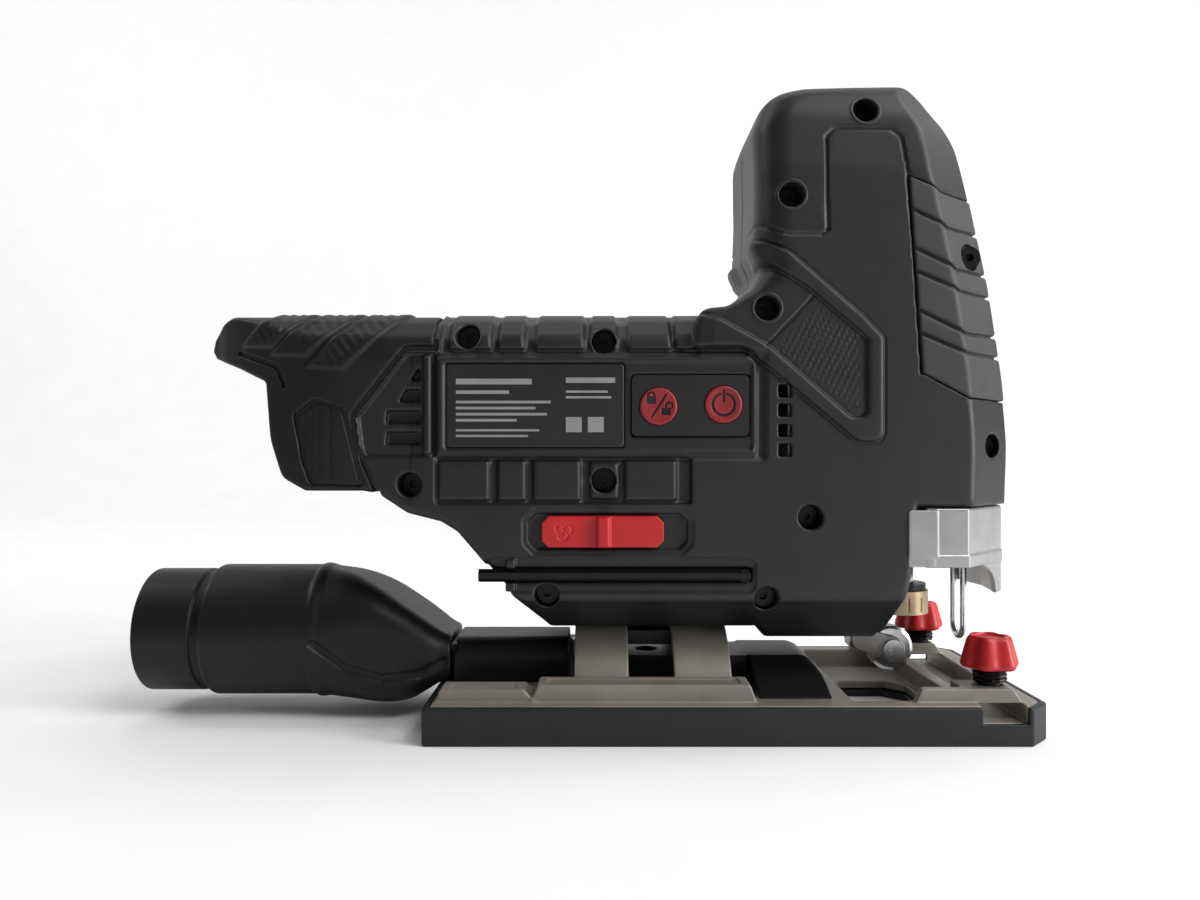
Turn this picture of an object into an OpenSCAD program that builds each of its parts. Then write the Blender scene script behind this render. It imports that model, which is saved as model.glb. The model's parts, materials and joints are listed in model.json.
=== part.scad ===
// Barrel-grip jigsaw with a tilting foot, a geared plunger drive and a dust nozzle.
// X runs forward to the blade, Y to the tool's left and Z up. The origin is on the
// centre plane, at the underside of the sole.

/* [Foot] */
// X of the sole's rear end
sole_rear = -45.4; // [-46:0.1:-45]
// X of the sole's front end
sole_front = 116; // [115:0.5:117]
// Width of the sole
sole_w = 75; // [74.5:0.5:78]
// Height of the sole shoe's wall
shoe_h = 9.8; // [9.4:0.1:9.9]
// Outer radius of the bevel arches about the tilt axis
arch_r = 27; // [26.9:0.05:27.1]

/* [Housing] */
// Width over the two housing halves
body_w = 57; // [56:0.5:60]
// Wall thickness of the housing
wall = 2.5; // [2.2:0.1:2.8]
// Height of the top of the barrel
barrel_top = 113; // [112:0.5:114]
// Height of the top of the head
head_top = 175.5; // [175:0.5:178]

/* [Drive] */
// Height of the motor axis
motor_z = 85.6; // [85.4:0.1:85.8]
// Outer radius of the motor can
motor_r = 14.5; // [13.5:0.1:14.6]
// Crank radius, half the stroke
crank_r = 10; // [9:0.5:10]
// X of the plunger axis
plunger_x = 88; // [87.8:0.1:88.2]
// Radius of the plunger rod
rod_r = 4; // [3.5:0.1:4]

/* [Dust extraction] */
// Outer radius of the hose outlet
outlet_r = 17.5; // [16:0.1:18]
// Height of the nozzle axis
nozzle_z = 23; // [22.8:0.1:23.5]

/* [Hidden] */
$fn = 64;

fit = 0.05;                 // radial running clearance
gap = 0.3;                  // clearance between pieces that move past each other
far = 200;                  // longer than the tool in every direction
half_w = body_w / 2;
right_y = -half_w;          // plane of the right-hand side face
inner_y = half_w - wall;    // inside face of a side wall

plate_low = 2.2;            // underside of the base plate
deck_z = 10;                // top of the plate's deck
deck_t = 2.2;
rail_y = [24, 33];          // inner and outer faces of the side rails
rail_z = [13.3, 14.6];      // tops of the low rear and the high front stretches
block_x = [83.2, 108.8];    // front blocks that hold the fence bar
block_z = 13.6;
fence_x = [97.3, 108.9];
fence_z = [5.6, 10];
blade_x = [68, 92];
blade_y = 11.3;
arch_x = [[-7, 7.7], [20, 35.5]];
arch_t = 2.5;
tilt_x = 13.5;              // X of the bevel clamp screw
access_r = 3.2;             // hole for the key that turns it
knob_x = 103;
knob_y = 27;
knob_z = [18, 26.4];

gear_module = 1;
pinion_teeth = 8;
gear_teeth = 40;
gear_z = motor_z + gear_module * (pinion_teeth + gear_teeth) / 2;
gear_x = [58, 64];
crank_pos = [6, -8];        // crank pin from the gear axis, as Y and Z, near bottom dead centre
yoke_x = [70.6, 75];
rod_z = [36.5, 143];
guide_z = [[60, 70], [130, 139]];
guide_r = 8;
roller_pos = [84.7, 17.6];  // X and Z of the guide roller
fork_pos = [76, 40];        // X and Z of the fork pivot
lever_pos = [60, 43];       // X and Z of the pendulum lever
key_z = 42.3;
key_x = [-31.9, 38];
key_y = -half_w + 0.1;
button_pos = [[15.4, 86.8], [32.5, 87.3]];
button_r = 5;

// Housing screws, as X, Z and the distance of the head's seat from the centre plane
screw_pos = [[70.4, 165.5, 16], [50.5, 142.6, 20], [101, 127.9, 17], [44, 112.7, 20],
  [107, 76.4, 11], [55.5, 57.5, 20], [44, 36, 20], [-14.1, 36.8, 20], [1, 104.1, 19],
  [-35.1, 105.4, 19], [-50.3, 66.1, 20], [1, 67.2, 20]];
screw_head_r = 3;
screw_head_h = 2.2;
screw_tip = 12;

// ---------- helpers ----------

// A box from its lowest and highest corners.
module box(low, high) {
  translate(low) cube(high - low);
}

// A box of half width y, centred on the middle plane.
module mid_box(x, y, z) {
  box([x[0], -y, z[0]], [x[1], y, z[1]]);
}

// A drawing in X and Z, extruded along Y between two planes.
module side_extrude(y) {
  translate([0, y[1], 0]) rotate([90, 0, 0]) linear_extrude(y[1] - y[0]) children();
}

// A drawing in Y and Z, extruded along X between two planes.
module front_extrude(x) {
  translate([x[0], 0, 0]) rotate([90, 0, 90]) linear_extrude(x[1] - x[0]) children();
}

module cyl_x(x, y, z, r) {
  translate([x[0], y, z]) rotate([0, 90, 0]) cylinder(r = r, h = x[1] - x[0]);
}

module cyl_y(x, y, z, r) {
  translate([x, y[1], z]) rotate([90, 0, 0]) cylinder(r = r, h = y[1] - y[0]);
}

module cyl_z(x, y, z, r) {
  translate([x, y, z[0]]) cylinder(r = r, h = z[1] - z[0]);
}

// A half drawing in its first axis, mirrored about the second.
module mirrored(points) {
  polygon(concat(points, [for (i = [len(points) - 1:-1:0]) [-points[i][0], points[i][1]]]));
}

// A coil spring along Z as one swept tube with six sides.
module coil(r, wire_r, z, turns) {
  sides = 6;
  steps = 14 * turns;
  points = [for (i = [0:steps], j = [0:sides - 1])
    let (a = 360 * turns * i / steps, b = 360 * j / sides, rr = r + wire_r * cos(b))
    [rr * cos(a), rr * sin(a), z[0] + (z[1] - z[0]) * i / steps + wire_r * sin(b)]];
  skin = [for (i = [0:steps - 1], j = [0:sides - 1])
    let (k = (j + 1) % sides) [i * sides + j, i * sides + k, (i + 1) * sides + k, (i + 1) * sides + j]];
  ends = [[for (j = [sides - 1:-1:0]) j], [for (j = [0:sides - 1]) steps * sides + j]];
  polyhedron(points, concat([for (f = skin) [f[3], f[2], f[1], f[0]]],
    [for (e = ends) [for (i = [len(e) - 1:-1:0]) e[i]]]));
}

// ---------- gears ----------

function inv(a) = tan(a) * 180 / PI - a;

// Half the tooth's angle at radius r, for an involute tooth thinned for backlash.
function tooth_angle(teeth, r, thin) =
  let (pitch = gear_module * teeth / 2, base = pitch * cos(20), a = acos(min(1, base / max(r, base))))
  90 / teeth - thin / pitch * 90 / PI + inv(20) - inv(a);

module gear_outline(teeth, addendum, dedendum, thin, phase) {
  pitch = gear_module * teeth / 2;
  radii = [pitch - dedendum, pitch - dedendum / 2, pitch, pitch + addendum / 2, pitch + addendum];
  count = len(radii);
  polygon([for (i = [0:teeth - 1], k = [0:2 * count - 1])
    let (r = radii[k < count ? k : 2 * count - 1 - k],
      side = k < count ? -1 : 1,
      a = phase + 360 * i / teeth + side * tooth_angle(teeth, r, thin))
    [r * cos(a), r * sin(a)]]);
}

// ---------- housing forms ----------

// Side outline of the barrel, tail and lower body.
barrel_side = [[-94.5, 94.5], [-101, 98], [-109, 100.5], [-110.5, 103], [-109.5, 106.5],
  [-107, 110], [-103, barrel_top - 0.5], [-98, barrel_top], [48, barrel_top], [48, 30], [43, 26],
  [-14, 26], [-16.5, 28.5], [-37.7, 53.6], [-42, 56.3], [-52, 58.8], [-58, 63.2], [-63, 64],
  [-84, 64], [-88, 65.5], [-90.5, 69], [-93, 77], [-94.5, 87]];

// Side outline of the head and the lower front body.
head_side = [[40, 30], [46, 23], [76.5, 23], [78.5, 25.5], [82.4, 42], [83, 50], [84, 60], [113.5, 60],
  [114.2, 76], [113.4, 92], [111.8, 107], [109.3, 122], [106.5, 135.5], [104, 147], [101, 158],
  [96.5, 165.5], [90, 171], [82, head_top], [57, head_top], [50, 173.5], [44, 169], [40, 162],
  [38.2, 153], [37, 138], [36.5, 128.5], [37.4, 125.5], [37.2, 121.5], [34.5, 117.5], [30, 114],
  [25, 112.5], [25, 100], [34, 60]];

// Plan of the whole housing, one side.
plan_side = [[-110.5, 6], [-108, 13], [-103, 18.5], [-95, 23.5], [-84, 27], [-66, half_w],
  [97, half_w], [112.5, 12.5], [114.5, 8]];

barrel_front = [[14, 20], [14, 26], [half_w - 0.5, 35.5], [half_w, 38], [half_w, 99], [26.5, 105],
  [22, 109.5], [14, 112.3], [8, 113.2], [8, 116]];
head_front = [[14, 20], [14, 23], [half_w - 0.5, 35.5], [half_w, 38], [half_w, 140], [27.3, 152],
  [24.5, 163], [20.5, 170.5], [14, 175], [9, 176], [9, 180]];

module plan_form(grow) {
  linear_extrude(far) offset(delta = grow)
    polygon(concat(plan_side, [for (i = [len(plan_side) - 1:-1:0]) [plan_side[i][0], -plan_side[i][1]]]));
}

// The outer body, grown or shrunk by an even amount.
module body_form(grow) {
  intersection() {
    union() {
      intersection() {
        side_extrude([-60, 60]) offset(delta = grow) polygon(barrel_side);
        front_extrude([-far, far]) offset(delta = grow) mirrored(barrel_front);
      }
      intersection() {
        side_extrude([-60, 60]) offset(delta = grow) polygon(head_side);
        front_extrude([-far, far]) offset(delta = grow) mirrored(head_front);
      }
    }
    plan_form(grow);
  }
}

// Ribs, bosses and bulkheads inside the housing, before they are cut.
module housing_inside() {
  for (p = screw_pos) {
    cyl_y(p[0], [-40, 40], p[1], 4.4);
  }
  for (x = [-24, 15]) {
    mid_box([x, x + 3], 17.4, [58, 112]);
  }
  mid_box([-55, 50], 30, [58, 60]);
  mid_box([60, 112], 30, [58, 66]);
  mid_box([36, 112], 30, [132, 136]);
  mid_box([-92, -60], 30, [62, 85.5]);
  mid_box([6, 21], 10, [24, 38]);
  mid_box([68.5, 86], 13, [22, 60]);
  box([-30, -30, 39.5], [42, -23.4, 45.2]);
  box([-20, -30, 47], [24, -24.6, 60]);
  box([-43, -30, 72.5], [43, -24.6, 101]);
  box([55, 24, 36], [65, 30, 50]);
}

module housing_cuts() {
  cyl_x([-28, 23.5], 0, motor_z, motor_r + fit);
  cyl_z(plunger_x, 0, [50, 145], guide_r + fit);
  // battery socket and the slots for its contacts
  mid_box([-88, -66], 20, [60, 83]);
  for (y = [-10, 0, 10]) {
    box([-81, y - 0.8, 80], [-73, y + 0.8, 90]);
  }
  // seats for the bevel arches, and the tongue between them
  for (x = arch_x) {
    cyl_x([x[0] - 0.5, x[1] + 0.5], 0, 0, arch_r + gap);
  }
  cyl_x([-60, 100], 0, 0, arch_r - arch_t + 0.2);
  cyl_z(tilt_x, 0, [20, 36.5], 3 + fit);
  // channel for the blade clamp, and slot for the guide fork
  mid_box([78.5, 90], 9.5, [20, 60.5]);
  mid_box([70, 84], 6, [20, 47]);
  cyl_y(fork_pos[0], [-11, 11], fork_pos[1], 2);
}

// One half of the housing: side is -1 for the right half and 1 for the left.
module housing_half(side) {
  difference() {
    body_form(0);
    difference() {
      body_form(-wall);
      housing_inside();
    }
    box([-far, side > 0 ? -far : 0, -10], [far, side > 0 ? 0 : far, far]);
    housing_cuts();
    for (p = screw_pos) {
      cyl_y(p[0], [-p[2] - 0.1, screw_tip + 1], p[1], 1.6);
      cyl_y(p[0], [-40, -p[2]], p[1], screw_head_r + 0.25);
    }
    front_grip_zone(0, 1.2);
  }
}

// ---------- foot ----------

module sole_outline(inset) {
  x = [sole_rear + inset, sole_front - inset];
  y = sole_w / 2 - inset;
  // corner chamfers, shortened so that an inset outline stays parallel
  rear = 2 - 0.586 * inset;
  front = 6 - 0.586 * inset;
  polygon([[x[0], -y + rear], [x[0] + rear, -y], [x[1] - front, -y], [x[1], -y + front],
    [x[1], y - front], [x[1] - front, y], [x[0] + rear, y], [x[0], y - rear]]);
}

module blade_outline(grow) {
  c = 5;
  x = [blade_x[0] - grow, blade_x[1] + grow];
  y = blade_y + grow;
  polygon([[x[0], -y + c], [x[0] + c, -y], [x[1] - c, -y], [x[1], -y + c],
    [x[1], y - c], [x[1] - c, y], [x[0] + c, y], [x[0], y - c]]);
}

module sole_shoe() {
  color("#17181a") difference() {
    linear_extrude(shoe_h) sole_outline(0);
    translate([0, 0, 2]) linear_extrude(shoe_h) sole_outline(1.5);
    translate([0, 0, -1]) linear_extrude(9) blade_outline(-1);
    cyl_z(tilt_x, 0, [-1, 8], access_r);
    mid_box(fence_x, 50, fence_z);
    // lightening grooves along the running face
    for (y = [-30, 30]) {
      box([-38, y - 2, -1], [90, y + 2, 0.6]);
    }
  }
}

module rail(x, z, lead, trail) {
  side_extrude(rail_y)
    polygon([[x[0] - lead, deck_z - 0.5], [x[0], z], [x[1], z], [x[1] + trail, deck_z - 0.5]]);
}

module base_plate() {
  floor_t = 2.3;
  color("#77716a") difference() {
    union() {
      translate([0, 0, plate_low]) linear_extrude(deck_z - plate_low) sole_outline(1.7);
      for (s = [0, 1]) {
        mirror([0, s, 0]) {
          rail([-41.5, -19.7], rail_z[0], 1.6, 4);
          rail([-16, 38.9], rail_z[1], 2.5, 2);
          side_extrude([23.2, rail_y[1]]) polygon([[block_x[0] - 2, deck_z - 0.5], [block_x[0], block_z],
            [block_x[1] - 2, block_z], [110, deck_z - 0.5]]);
        }
      }
      for (x = arch_x) {
        intersection() {
          difference() {
            cyl_x(x, 0, 0, arch_r);
            cyl_x([x[0] - 1, x[1] + 1], 0, 0, arch_r - arch_t);
          }
          mid_box(x, 30, [deck_z - 0.5, 30]);
        }
      }
    }
    // hollow underside of the rear deck and of the front end
    mid_box([-40, 62], 32, [0, deck_z - deck_t]);
    mid_box([95, fence_x[1]], 20, [0, deck_z - deck_t]);
    // well around the blade
    mid_box([66, 94], 30.5, [plate_low + floor_t, 20]);
    translate([0, 0, -1]) linear_extrude(20) blade_outline(0);
    // fence bar tunnels, thumb screw holes and the tilt screw's access hole
    mid_box(fence_x, 50, fence_z);
    for (y = [-knob_y, knob_y]) {
      cyl_z(knob_x, y, [8, 20], 3 + fit);
    }
    cyl_z(tilt_x, 0, [0, 20], access_r);
  }
}

module dust_duct() {
  rear = [-41, -9];
  mouth = [42, 61];
  color("#101113") difference() {
    union() {
      difference() {
        union() {
          mid_box(rear, 12, [deck_z, 22]);
          mid_box([rear[1] - 1, mouth[1]], 10, [deck_z, 17]);
          // the mouth spreads over the deck and slopes down to its sides
          front_extrude(mouth) mirrored([[30, deck_z], [10, 17]]);
        }
        mid_box([rear[0] - 1, rear[1] - 1.5], 10.2, [deck_z + 1.4, 20.6]);
        mid_box([rear[1] - 2, 70], 8.5, [deck_z + 1.4, 15.6]);
        front_extrude([mouth[0] + 1.5, 70]) mirrored([[21.6, deck_z + 1.4], [9, 15.6]]);
      }
      cyl_z(tilt_x, 0, [deck_z, 17], access_r + 1);
    }
    cyl_z(tilt_x, 0, [deck_z - 1, 18], access_r);
  }
}

// A flat slice of the nozzle at one X, as half width and heights.
module nozzle_slice(x, y, z, r) {
  front_extrude([x, x + 0.2]) offset(r = r) translate([-y + r, z[0] + r])
    square([2 * (y - r), z[1] - z[0] - 2 * r]);
}

module dust_nozzle() {
  body_r = 18.7;
  bore_r = outlet_r - 2;
  color("#121214") difference() {
    union() {
      cyl_x([-129.5, -113.9], 0, nozzle_z, outlet_r);
      cyl_x([-114, -110.9], 0, nozzle_z, outlet_r - 0.8);
      cyl_x([-111, -79], 0, nozzle_z, body_r);
      hull() {
        cyl_x([-79.5, -79.2], 0, nozzle_z, body_r - 0.15, $fn = 32);
        nozzle_slice(-55, 17, [4.4, 32], 6, $fn = 24);
      }
      hull() {
        nozzle_slice(-55, 17, [4.4, 32], 6, $fn = 24);
        nozzle_slice(-47.2, 15.5, [10.6, 26.4], 5, $fn = 24);
      }
      hull() {
        nozzle_slice(-47.2, 15.5, [10.6, 26.4], 5, $fn = 24);
        nozzle_slice(-42.2, 12, [11, 22.4], 4, $fn = 24);
      }
      mid_box([-43, -33], 9.8, [12, 20.2]);
    }
    cyl_x([-130, -78.9], 0, nozzle_z, bore_r);
    hull() {
      cyl_x([-79.5, -79.2], 0, nozzle_z, bore_r - 0.15, $fn = 32);
      nozzle_slice(-55, 13, [8, 28], 5, $fn = 24);
    }
    hull() {
      nozzle_slice(-55, 13, [8, 28], 5, $fn = 24);
      nozzle_slice(-43, 8, [13.4, 18.8], 1, $fn = 24);
    }
    mid_box([-43, -30], 8, [13.4, 18.8]);
  }
}

module knob(side) {
  y = side * knob_y;
  color("#c01018") difference() {
    hull() {
      translate([knob_x, y, knob_z[0]]) cylinder(r = 8.2, h = 2, $fn = 6);
      translate([knob_x, y, knob_z[1] - 1]) cylinder(r = 6.2, h = 1, $fn = 6);
    }
    cyl_z(knob_x, y, [knob_z[0] - 1, 22], 3);
  }
}

module knob_right() { knob(-1); }
module knob_left() { knob(1); }

module knob_screw(side) {
  color("#303030") cyl_z(knob_x, side * knob_y, [deck_z + 0.2, 22], 3);
}

module knob_screw_right() { knob_screw(-1); }
module knob_screw_left() { knob_screw(1); }

module knob_spring(side) {
  color("#202020") translate([knob_x, side * knob_y, 0])
    coil(4, 0.5, [block_z + 0.6, knob_z[0] - 0.6], 3);
}

module knob_spring_right() { knob_spring(-1); }
module knob_spring_left() { knob_spring(1); }

// ---------- housing pieces ----------

// The soft strip down the head's front, at a depth below the surface.
module front_grip_zone(from, depth) {
  difference() {
    intersection() {
      body_form(-from);
      side_extrude([-60, 60]) polygon([[81, 148], [84.7, 95.5], [97, 89], [130, 88], [130, 144]]);
      box([78, -60, 80], [130, 60, 160]);
    }
    body_form(-depth);
  }
}

module front_grip() {
  color("#2b2d31") difference() {
    front_grip_zone(0, 1.2);
    // grooves between the finger bands
    difference() {
      for (z = [139.5, 129, 122.5, 112.5, 106.5]) {
        side_extrude([-60, 60]) polygon([[78, z + 1.4], [95, z - 5.2], [130, z - 5.2],
          [130, z - 6.2], [95, z - 6.2], [78, z + 0.4]]);
      }
      body_form(-0.6);
    }
    screw = screw_pos[2];
    cyl_y(screw[0], [-60, 0], screw[1], 4.2);
  }
}

// The three grip bands over the tail, which stand proud of the housing.
module tail_grip() {
  color("#1c1d1f") difference() {
    intersection() {
      body_form(0.8);
      side_extrude([-60, 60]) for (x = [-92, -78, -64]) {
        polygon([[x, 96], [x + 8.5, 96], [x + 0.5, 120], [x - 8, 120]]);
      }
      box([-103, -60, 101], [-50, 60, 120]);
    }
    body_form(0);
  }
}

module panel_pocket(grow) {
  side_extrude([right_y - 2, right_y + 0.6]) offset(delta = grow)
    polygon([[-41.6, 74], [41.1, 74], [41.1, 96.5], [37.7, 99.9], [-41.6, 99.9]]);
}

module label_area(y, grow) {
  side_extrude(y) offset(r = 1 + grow) translate([-39.6, 77]) square([44.9, 20]);
}

module switch_area(y, grow) {
  side_extrude(y) offset(r = 1.3 + grow) translate([9.7, 80.3]) square([28.3, 13.4]);
}

module slider_slot(y, grow) {
  side_extrude(y) offset(delta = grow)
    polygon([[-18.9, 51], [-17, 49], [21, 49], [23, 51], [23, 56.5], [21, 58.5], [-17, 58.5], [-18.9, 56.5]]);
}

module right_cuts() {
  panel_pocket(0);
  label_area([right_y - 1, right_y + 1.4], 0.1);
  switch_area([right_y - 1, right_y + 1.6], 0.1);
  for (p = button_pos) {
    cyl_y(p[0], [right_y - 1, 0], p[1], button_r + 0.15);
    cyl_y(p[0], [-inner_y, -12], p[1], button_r + 1.2);
  }
  // control board pocket, blower slot and its stem slot
  box([3, -22.8, 74], [43, -17.6, 99]);
  slider_slot([right_y - 1, right_y + 1.6], 0);
  box([-8, right_y, 51.6], [11, -20, 55.9]);
  // hex key groove and the hole for its short leg
  box([key_x[0] - 8, right_y - 3, key_z - 1.8], [key_x[1] + 2, key_y + 1.8, key_z + 1.8]);
  cyl_y(key_x[1], [right_y - 3, -10], key_z, 1.9);
  side_vents(-1);
}

// Square vents by the fan and the slanted louvres at the motor's rear.
module side_vents(side) {
  y = side < 0 ? [-60, -20] : [20, 60];
  for (z = [89, 84, 78.5, 73]) {
    box([46.9, y[0], z], [50.3, y[1], z + 3.3]);
  }
  for (i = [0:3]) {
    z = 94.3 - 5.6 * i;
    x = -51.5 - [0, 3.2, 6.8, 6.8][i];
    box([x, y[0], z - 1.5], [-48.6, y[1], z + 1.5]);
  }
}

module housing_right() {
  color("#1b1c1f") difference() {
    union() {
      housing_half(-1);
      // jaws of the hex key clip
      box([-24.8, right_y - 1.2, key_z + 1.9], [-22.2, right_y + 0.5, key_z + 4]);
      box([-24.8, right_y - 1.2, key_z - 4], [-22.2, right_y + 0.5, key_z - 1.9]);
    }
    right_cuts();
  }
}

module housing_left() {
  color("#1b1c1f") difference() {
    housing_half(1);
    side_vents(1);
    cyl_y(lever_pos[0], [0, 60], lever_pos[1], 3 + fit);
  }
}

module housing_screws() {
  color("#4a4a4c") for (p = screw_pos) {
    difference() {
      union() {
        cyl_y(p[0], [-p[2] - screw_head_h, -p[2]], p[1], screw_head_r);
        cyl_y(p[0], [-p[2] - 0.1, screw_tip], p[1], 1.5);
      }
      cyl_y(p[0], [-p[2] - 3, -p[2] - 0.8], p[1], 1.2, $fn = 6);
    }
  }
}

module label_plate() {
  color("#2a2a2c") label_area([right_y + 0.6, right_y + 1.3], 0);
}

module switch_panel() {
  color("#101012") difference() {
    switch_area([right_y + 0.1, right_y + 1.5], 0);
    for (p = button_pos) {
      cyl_y(p[0], [-60, 0], p[1], button_r + 0.15);
    }
  }
}

module control_board() {
  color("#1f5a35") box([4, -20, 75.5], [42, -18.4, 97.5]);
  color("#303030") for (p = button_pos) {
    box([p[0] - 3, -22, p[1] - 3], [p[0] + 3, -20, p[1] + 3]);
  }
}

module button(p) {
  color("#c01018") {
    cyl_y(p[0], [right_y - 0.3, -23.4], p[1], button_r);
    cyl_y(p[0], [-25.9, -24.9], p[1], button_r + 0.9);
  }
}

module lock_button() { button(button_pos[0]); }
module power_button() { button(button_pos[1]); }

module blower_slider() {
  y = [right_y - 0.4, right_y + 1.4];
  color("#c01018") {
    side_extrude(y)
      polygon([[-15.4, 51.3], [-13.6, 49.6], [15, 49.6], [16.8, 51.3], [16.8, 56.2], [15, 57.9],
        [-13.6, 57.9], [-15.4, 56.2]]);
    box([-1.4, right_y - 1.8, 50], [3.2, right_y, 57.5]);
    box([-3, right_y + 1.3, 52], [3, -21.5, 55.5]);
  }
}

module hex_key() {
  af = 1.72;
  color("#1d1d1f") {
    translate([key_x[0], key_y, key_z]) rotate([0, 90, 0])
      cylinder(r = af, h = key_x[1] - key_x[0] + 1.2, $fn = 6);
    cyl_y(key_x[1], [key_y - 1.2, key_y + 16], key_z, 1.6);
  }
}

// The nose cover's plan, which follows the head, between two heights.
module nose_form(inset, rear, z) {
  intersection() {
    plan_form(-inset - 0.2);
    box([rear, -60, z[0]], [113 - inset, 60, z[1]]);
  }
}

module nose_cover() {
  lip_r = 8.5;
  color("#b9babb") difference() {
    nose_form(0, 86, [35.5, 59.9]);
    nose_form(2.2, 80, [30, 57.9]);
    cyl_z(plunger_x, 0, [50, 70], rod_r + 1);
    // the sides stop short and sweep down to the front lip
    difference() {
      box([80, -60, 30], [109.8, 60, 44.3]);
      side_extrude([-60, 60]) difference() {
        translate([109.8 - lip_r, 44.3 - lip_r]) square([lip_r + 1, lip_r + 1]);
        translate([109.8 - lip_r, 44.3 - lip_r]) circle(r = lip_r);
      }
    }
  }
}

module finger_guard() {
  wire_r = 0.95;
  leg_y = 3.75;
  low_z = 20 + wire_r + leg_y;
  color("#9b9b9b") {
    for (y = [-leg_y, leg_y]) {
      cyl_z(105.3, y, [low_z, 57.8], wire_r);
    }
    translate([105.3, 0, low_z]) rotate([90, 0, 90]) rotate([0, 0, 180])
      rotate_extrude(angle = 180) translate([leg_y, 0]) circle(r = wire_r);
  }
}

module terminal_block() {
  color("#202225") difference() {
    mid_box([-86, -68], 16, [86, 93]);
    for (y = [-10, 0, 10]) {
      box([-80, y - 0.4, 85], [-74, y + 0.4, 94]);
    }
  }
}

module terminal_contacts() {
  color("#c89b4a") for (y = [-10, 0, 10]) {
    box([-80, y - 0.4, 76.5], [-74, y + 0.4, 93]);
  }
}

module lower_guide() {
  color("#a8936a") difference() {
    union() {
      cyl_z(plunger_x, 0, guide_z[0], guide_r);
      cyl_z(plunger_x, 0, [66.2, 68], guide_r + 1.5);
    }
    cyl_z(plunger_x, 0, [50, 80], rod_r + fit);
  }
}

module upper_guide() {
  color("#a8936a") difference() {
    union() {
      cyl_z(plunger_x, 0, guide_z[1], guide_r);
      cyl_z(plunger_x, 0, [136.2, 138], guide_r + 1.5);
    }
    cyl_z(plunger_x, 0, [120, 150], rod_r + fit);
  }
}

module bevel_clamp() {
  color("#8d8d8f") difference() {
    intersection() {
      difference() {
        cyl_x([-6, 33.4], 0, 0, arch_r - arch_t - 0.1);
        cyl_x([-7, 34], 0, 0, 20.6);
      }
      mid_box([-10, 40], 6.5, [15, 30]);
    }
    cyl_z(tilt_x, 0, [15, 23.3], 5.4);
    cyl_z(tilt_x, 0, [15, 30], 3.1);
  }
}

module bevel_screw() {
  color("#3a3a3c") difference() {
    union() {
      cyl_z(tilt_x, 0, [20.9, 23.2], 5);
      cyl_z(tilt_x, 0, [23, 36], 3);
    }
    cyl_z(tilt_x, 0, [20, 22.4], 2, $fn = 6);
  }
}

// ---------- drive ----------

motor_x = [-28, 22];
can_t = 1.2;

module motor_can() {
  color("#8a8c90") difference() {
    cyl_x([motor_x[0] + 2, motor_x[1]], 0, motor_z, motor_r);
    cyl_x([motor_x[0] + 1, motor_x[1] - can_t], 0, motor_z, motor_r - can_t);
    cyl_x([0, 40], 0, motor_z, 4.6);
    for (a = [0:60:300]) {
      translate([motor_x[1] - 3, 0, motor_z]) rotate([a, 0, 0]) cyl_x([0, 6], 0, 9, 2);
    }
  }
}

module motor_end_plate() {
  color("#1a1a1a") difference() {
    union() {
      cyl_x([motor_x[0], motor_x[0] + 2], 0, motor_z, motor_r);
      cyl_x([motor_x[0] + 2, motor_x[0] + 5], 0, motor_z, motor_r - can_t - 0.1);
    }
    cyl_x([motor_x[0] + 2, motor_x[0] + 6], 0, motor_z, motor_r - can_t - 2);
    cyl_x([-40, 0], 0, motor_z, 4.6);
  }
}

module bearing(x, y, z, outer, inner) {
  difference() {
    cyl_x(x, y, z, outer);
    cyl_x([x[0] - 1, x[1] + 1], y, z, inner);
    // the step between the races, on both faces
    for (face = [[x[0] - 1, x[0] + 0.4], [x[1] - 0.4, x[1] + 1]]) {
      difference() {
        cyl_x(face, y, z, outer - 0.9);
        cyl_x(face, y, z, inner + 0.7);
      }
    }
  }
}

module motor_bearings() {
  color("#b4b6ba") {
    bearing([-28, -25], 0, motor_z, 4.6, 2 + fit);
    bearing([20.8, 24], 0, motor_z, 4.6, 2 + fit);
    bearing([50, 53.5], 0, motor_z, 5, 2 + fit);
  }
}

module gear_case() {
  x = [50, 53.5];
  color("#9a9c9f") difference() {
    union() {
      mid_box(x, inner_y - 0.1, [67, 131]);
      cyl_x([x[0] - 3, x[1]], 0, motor_z, 8);
      cyl_x([x[0] - 1.4, x[1] + 1], 0, gear_z, 7);
    }
    cyl_x([x[0] - 0.01, 60], 0, motor_z, 5);
    cyl_x([40, 60], 0, motor_z, 3.4);
    cyl_x([40, 60], 0, gear_z, 2.5);
    for (y = [-17, 17], z = [75, 124]) {
      cyl_x([40, 60], y, z, 3);
    }
  }
}

module gear_axle() {
  color("#c0c2c5") {
    cyl_x([48.7, 67], 0, gear_z, 2.5);
    cyl_x([66.6, 68.2], 0, gear_z, 3.8);
  }
}

module motor_shaft() {
  color("#c9cbce") cyl_x([-29.5, 65.4], 0, motor_z, 2);
}

module armature() {
  poles = 5;
  color("#7a4a2c") difference() {
    cyl_x([-18, 14], 0, motor_z, 11.5);
    cyl_x([-30, 30], 0, motor_z, 2);
    for (i = [0:poles - 1]) {
      translate([0, 0, motor_z]) rotate([i * 360 / poles, 0, 0]) mid_box([-20, 16], 1.2, [8, 13]);
    }
  }
}

module commutator() {
  color("#b87a42") difference() {
    cyl_x([-23.5, -18], 0, motor_z, 4.2);
    cyl_x([-30, 30], 0, motor_z, 2);
  }
}

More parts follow.
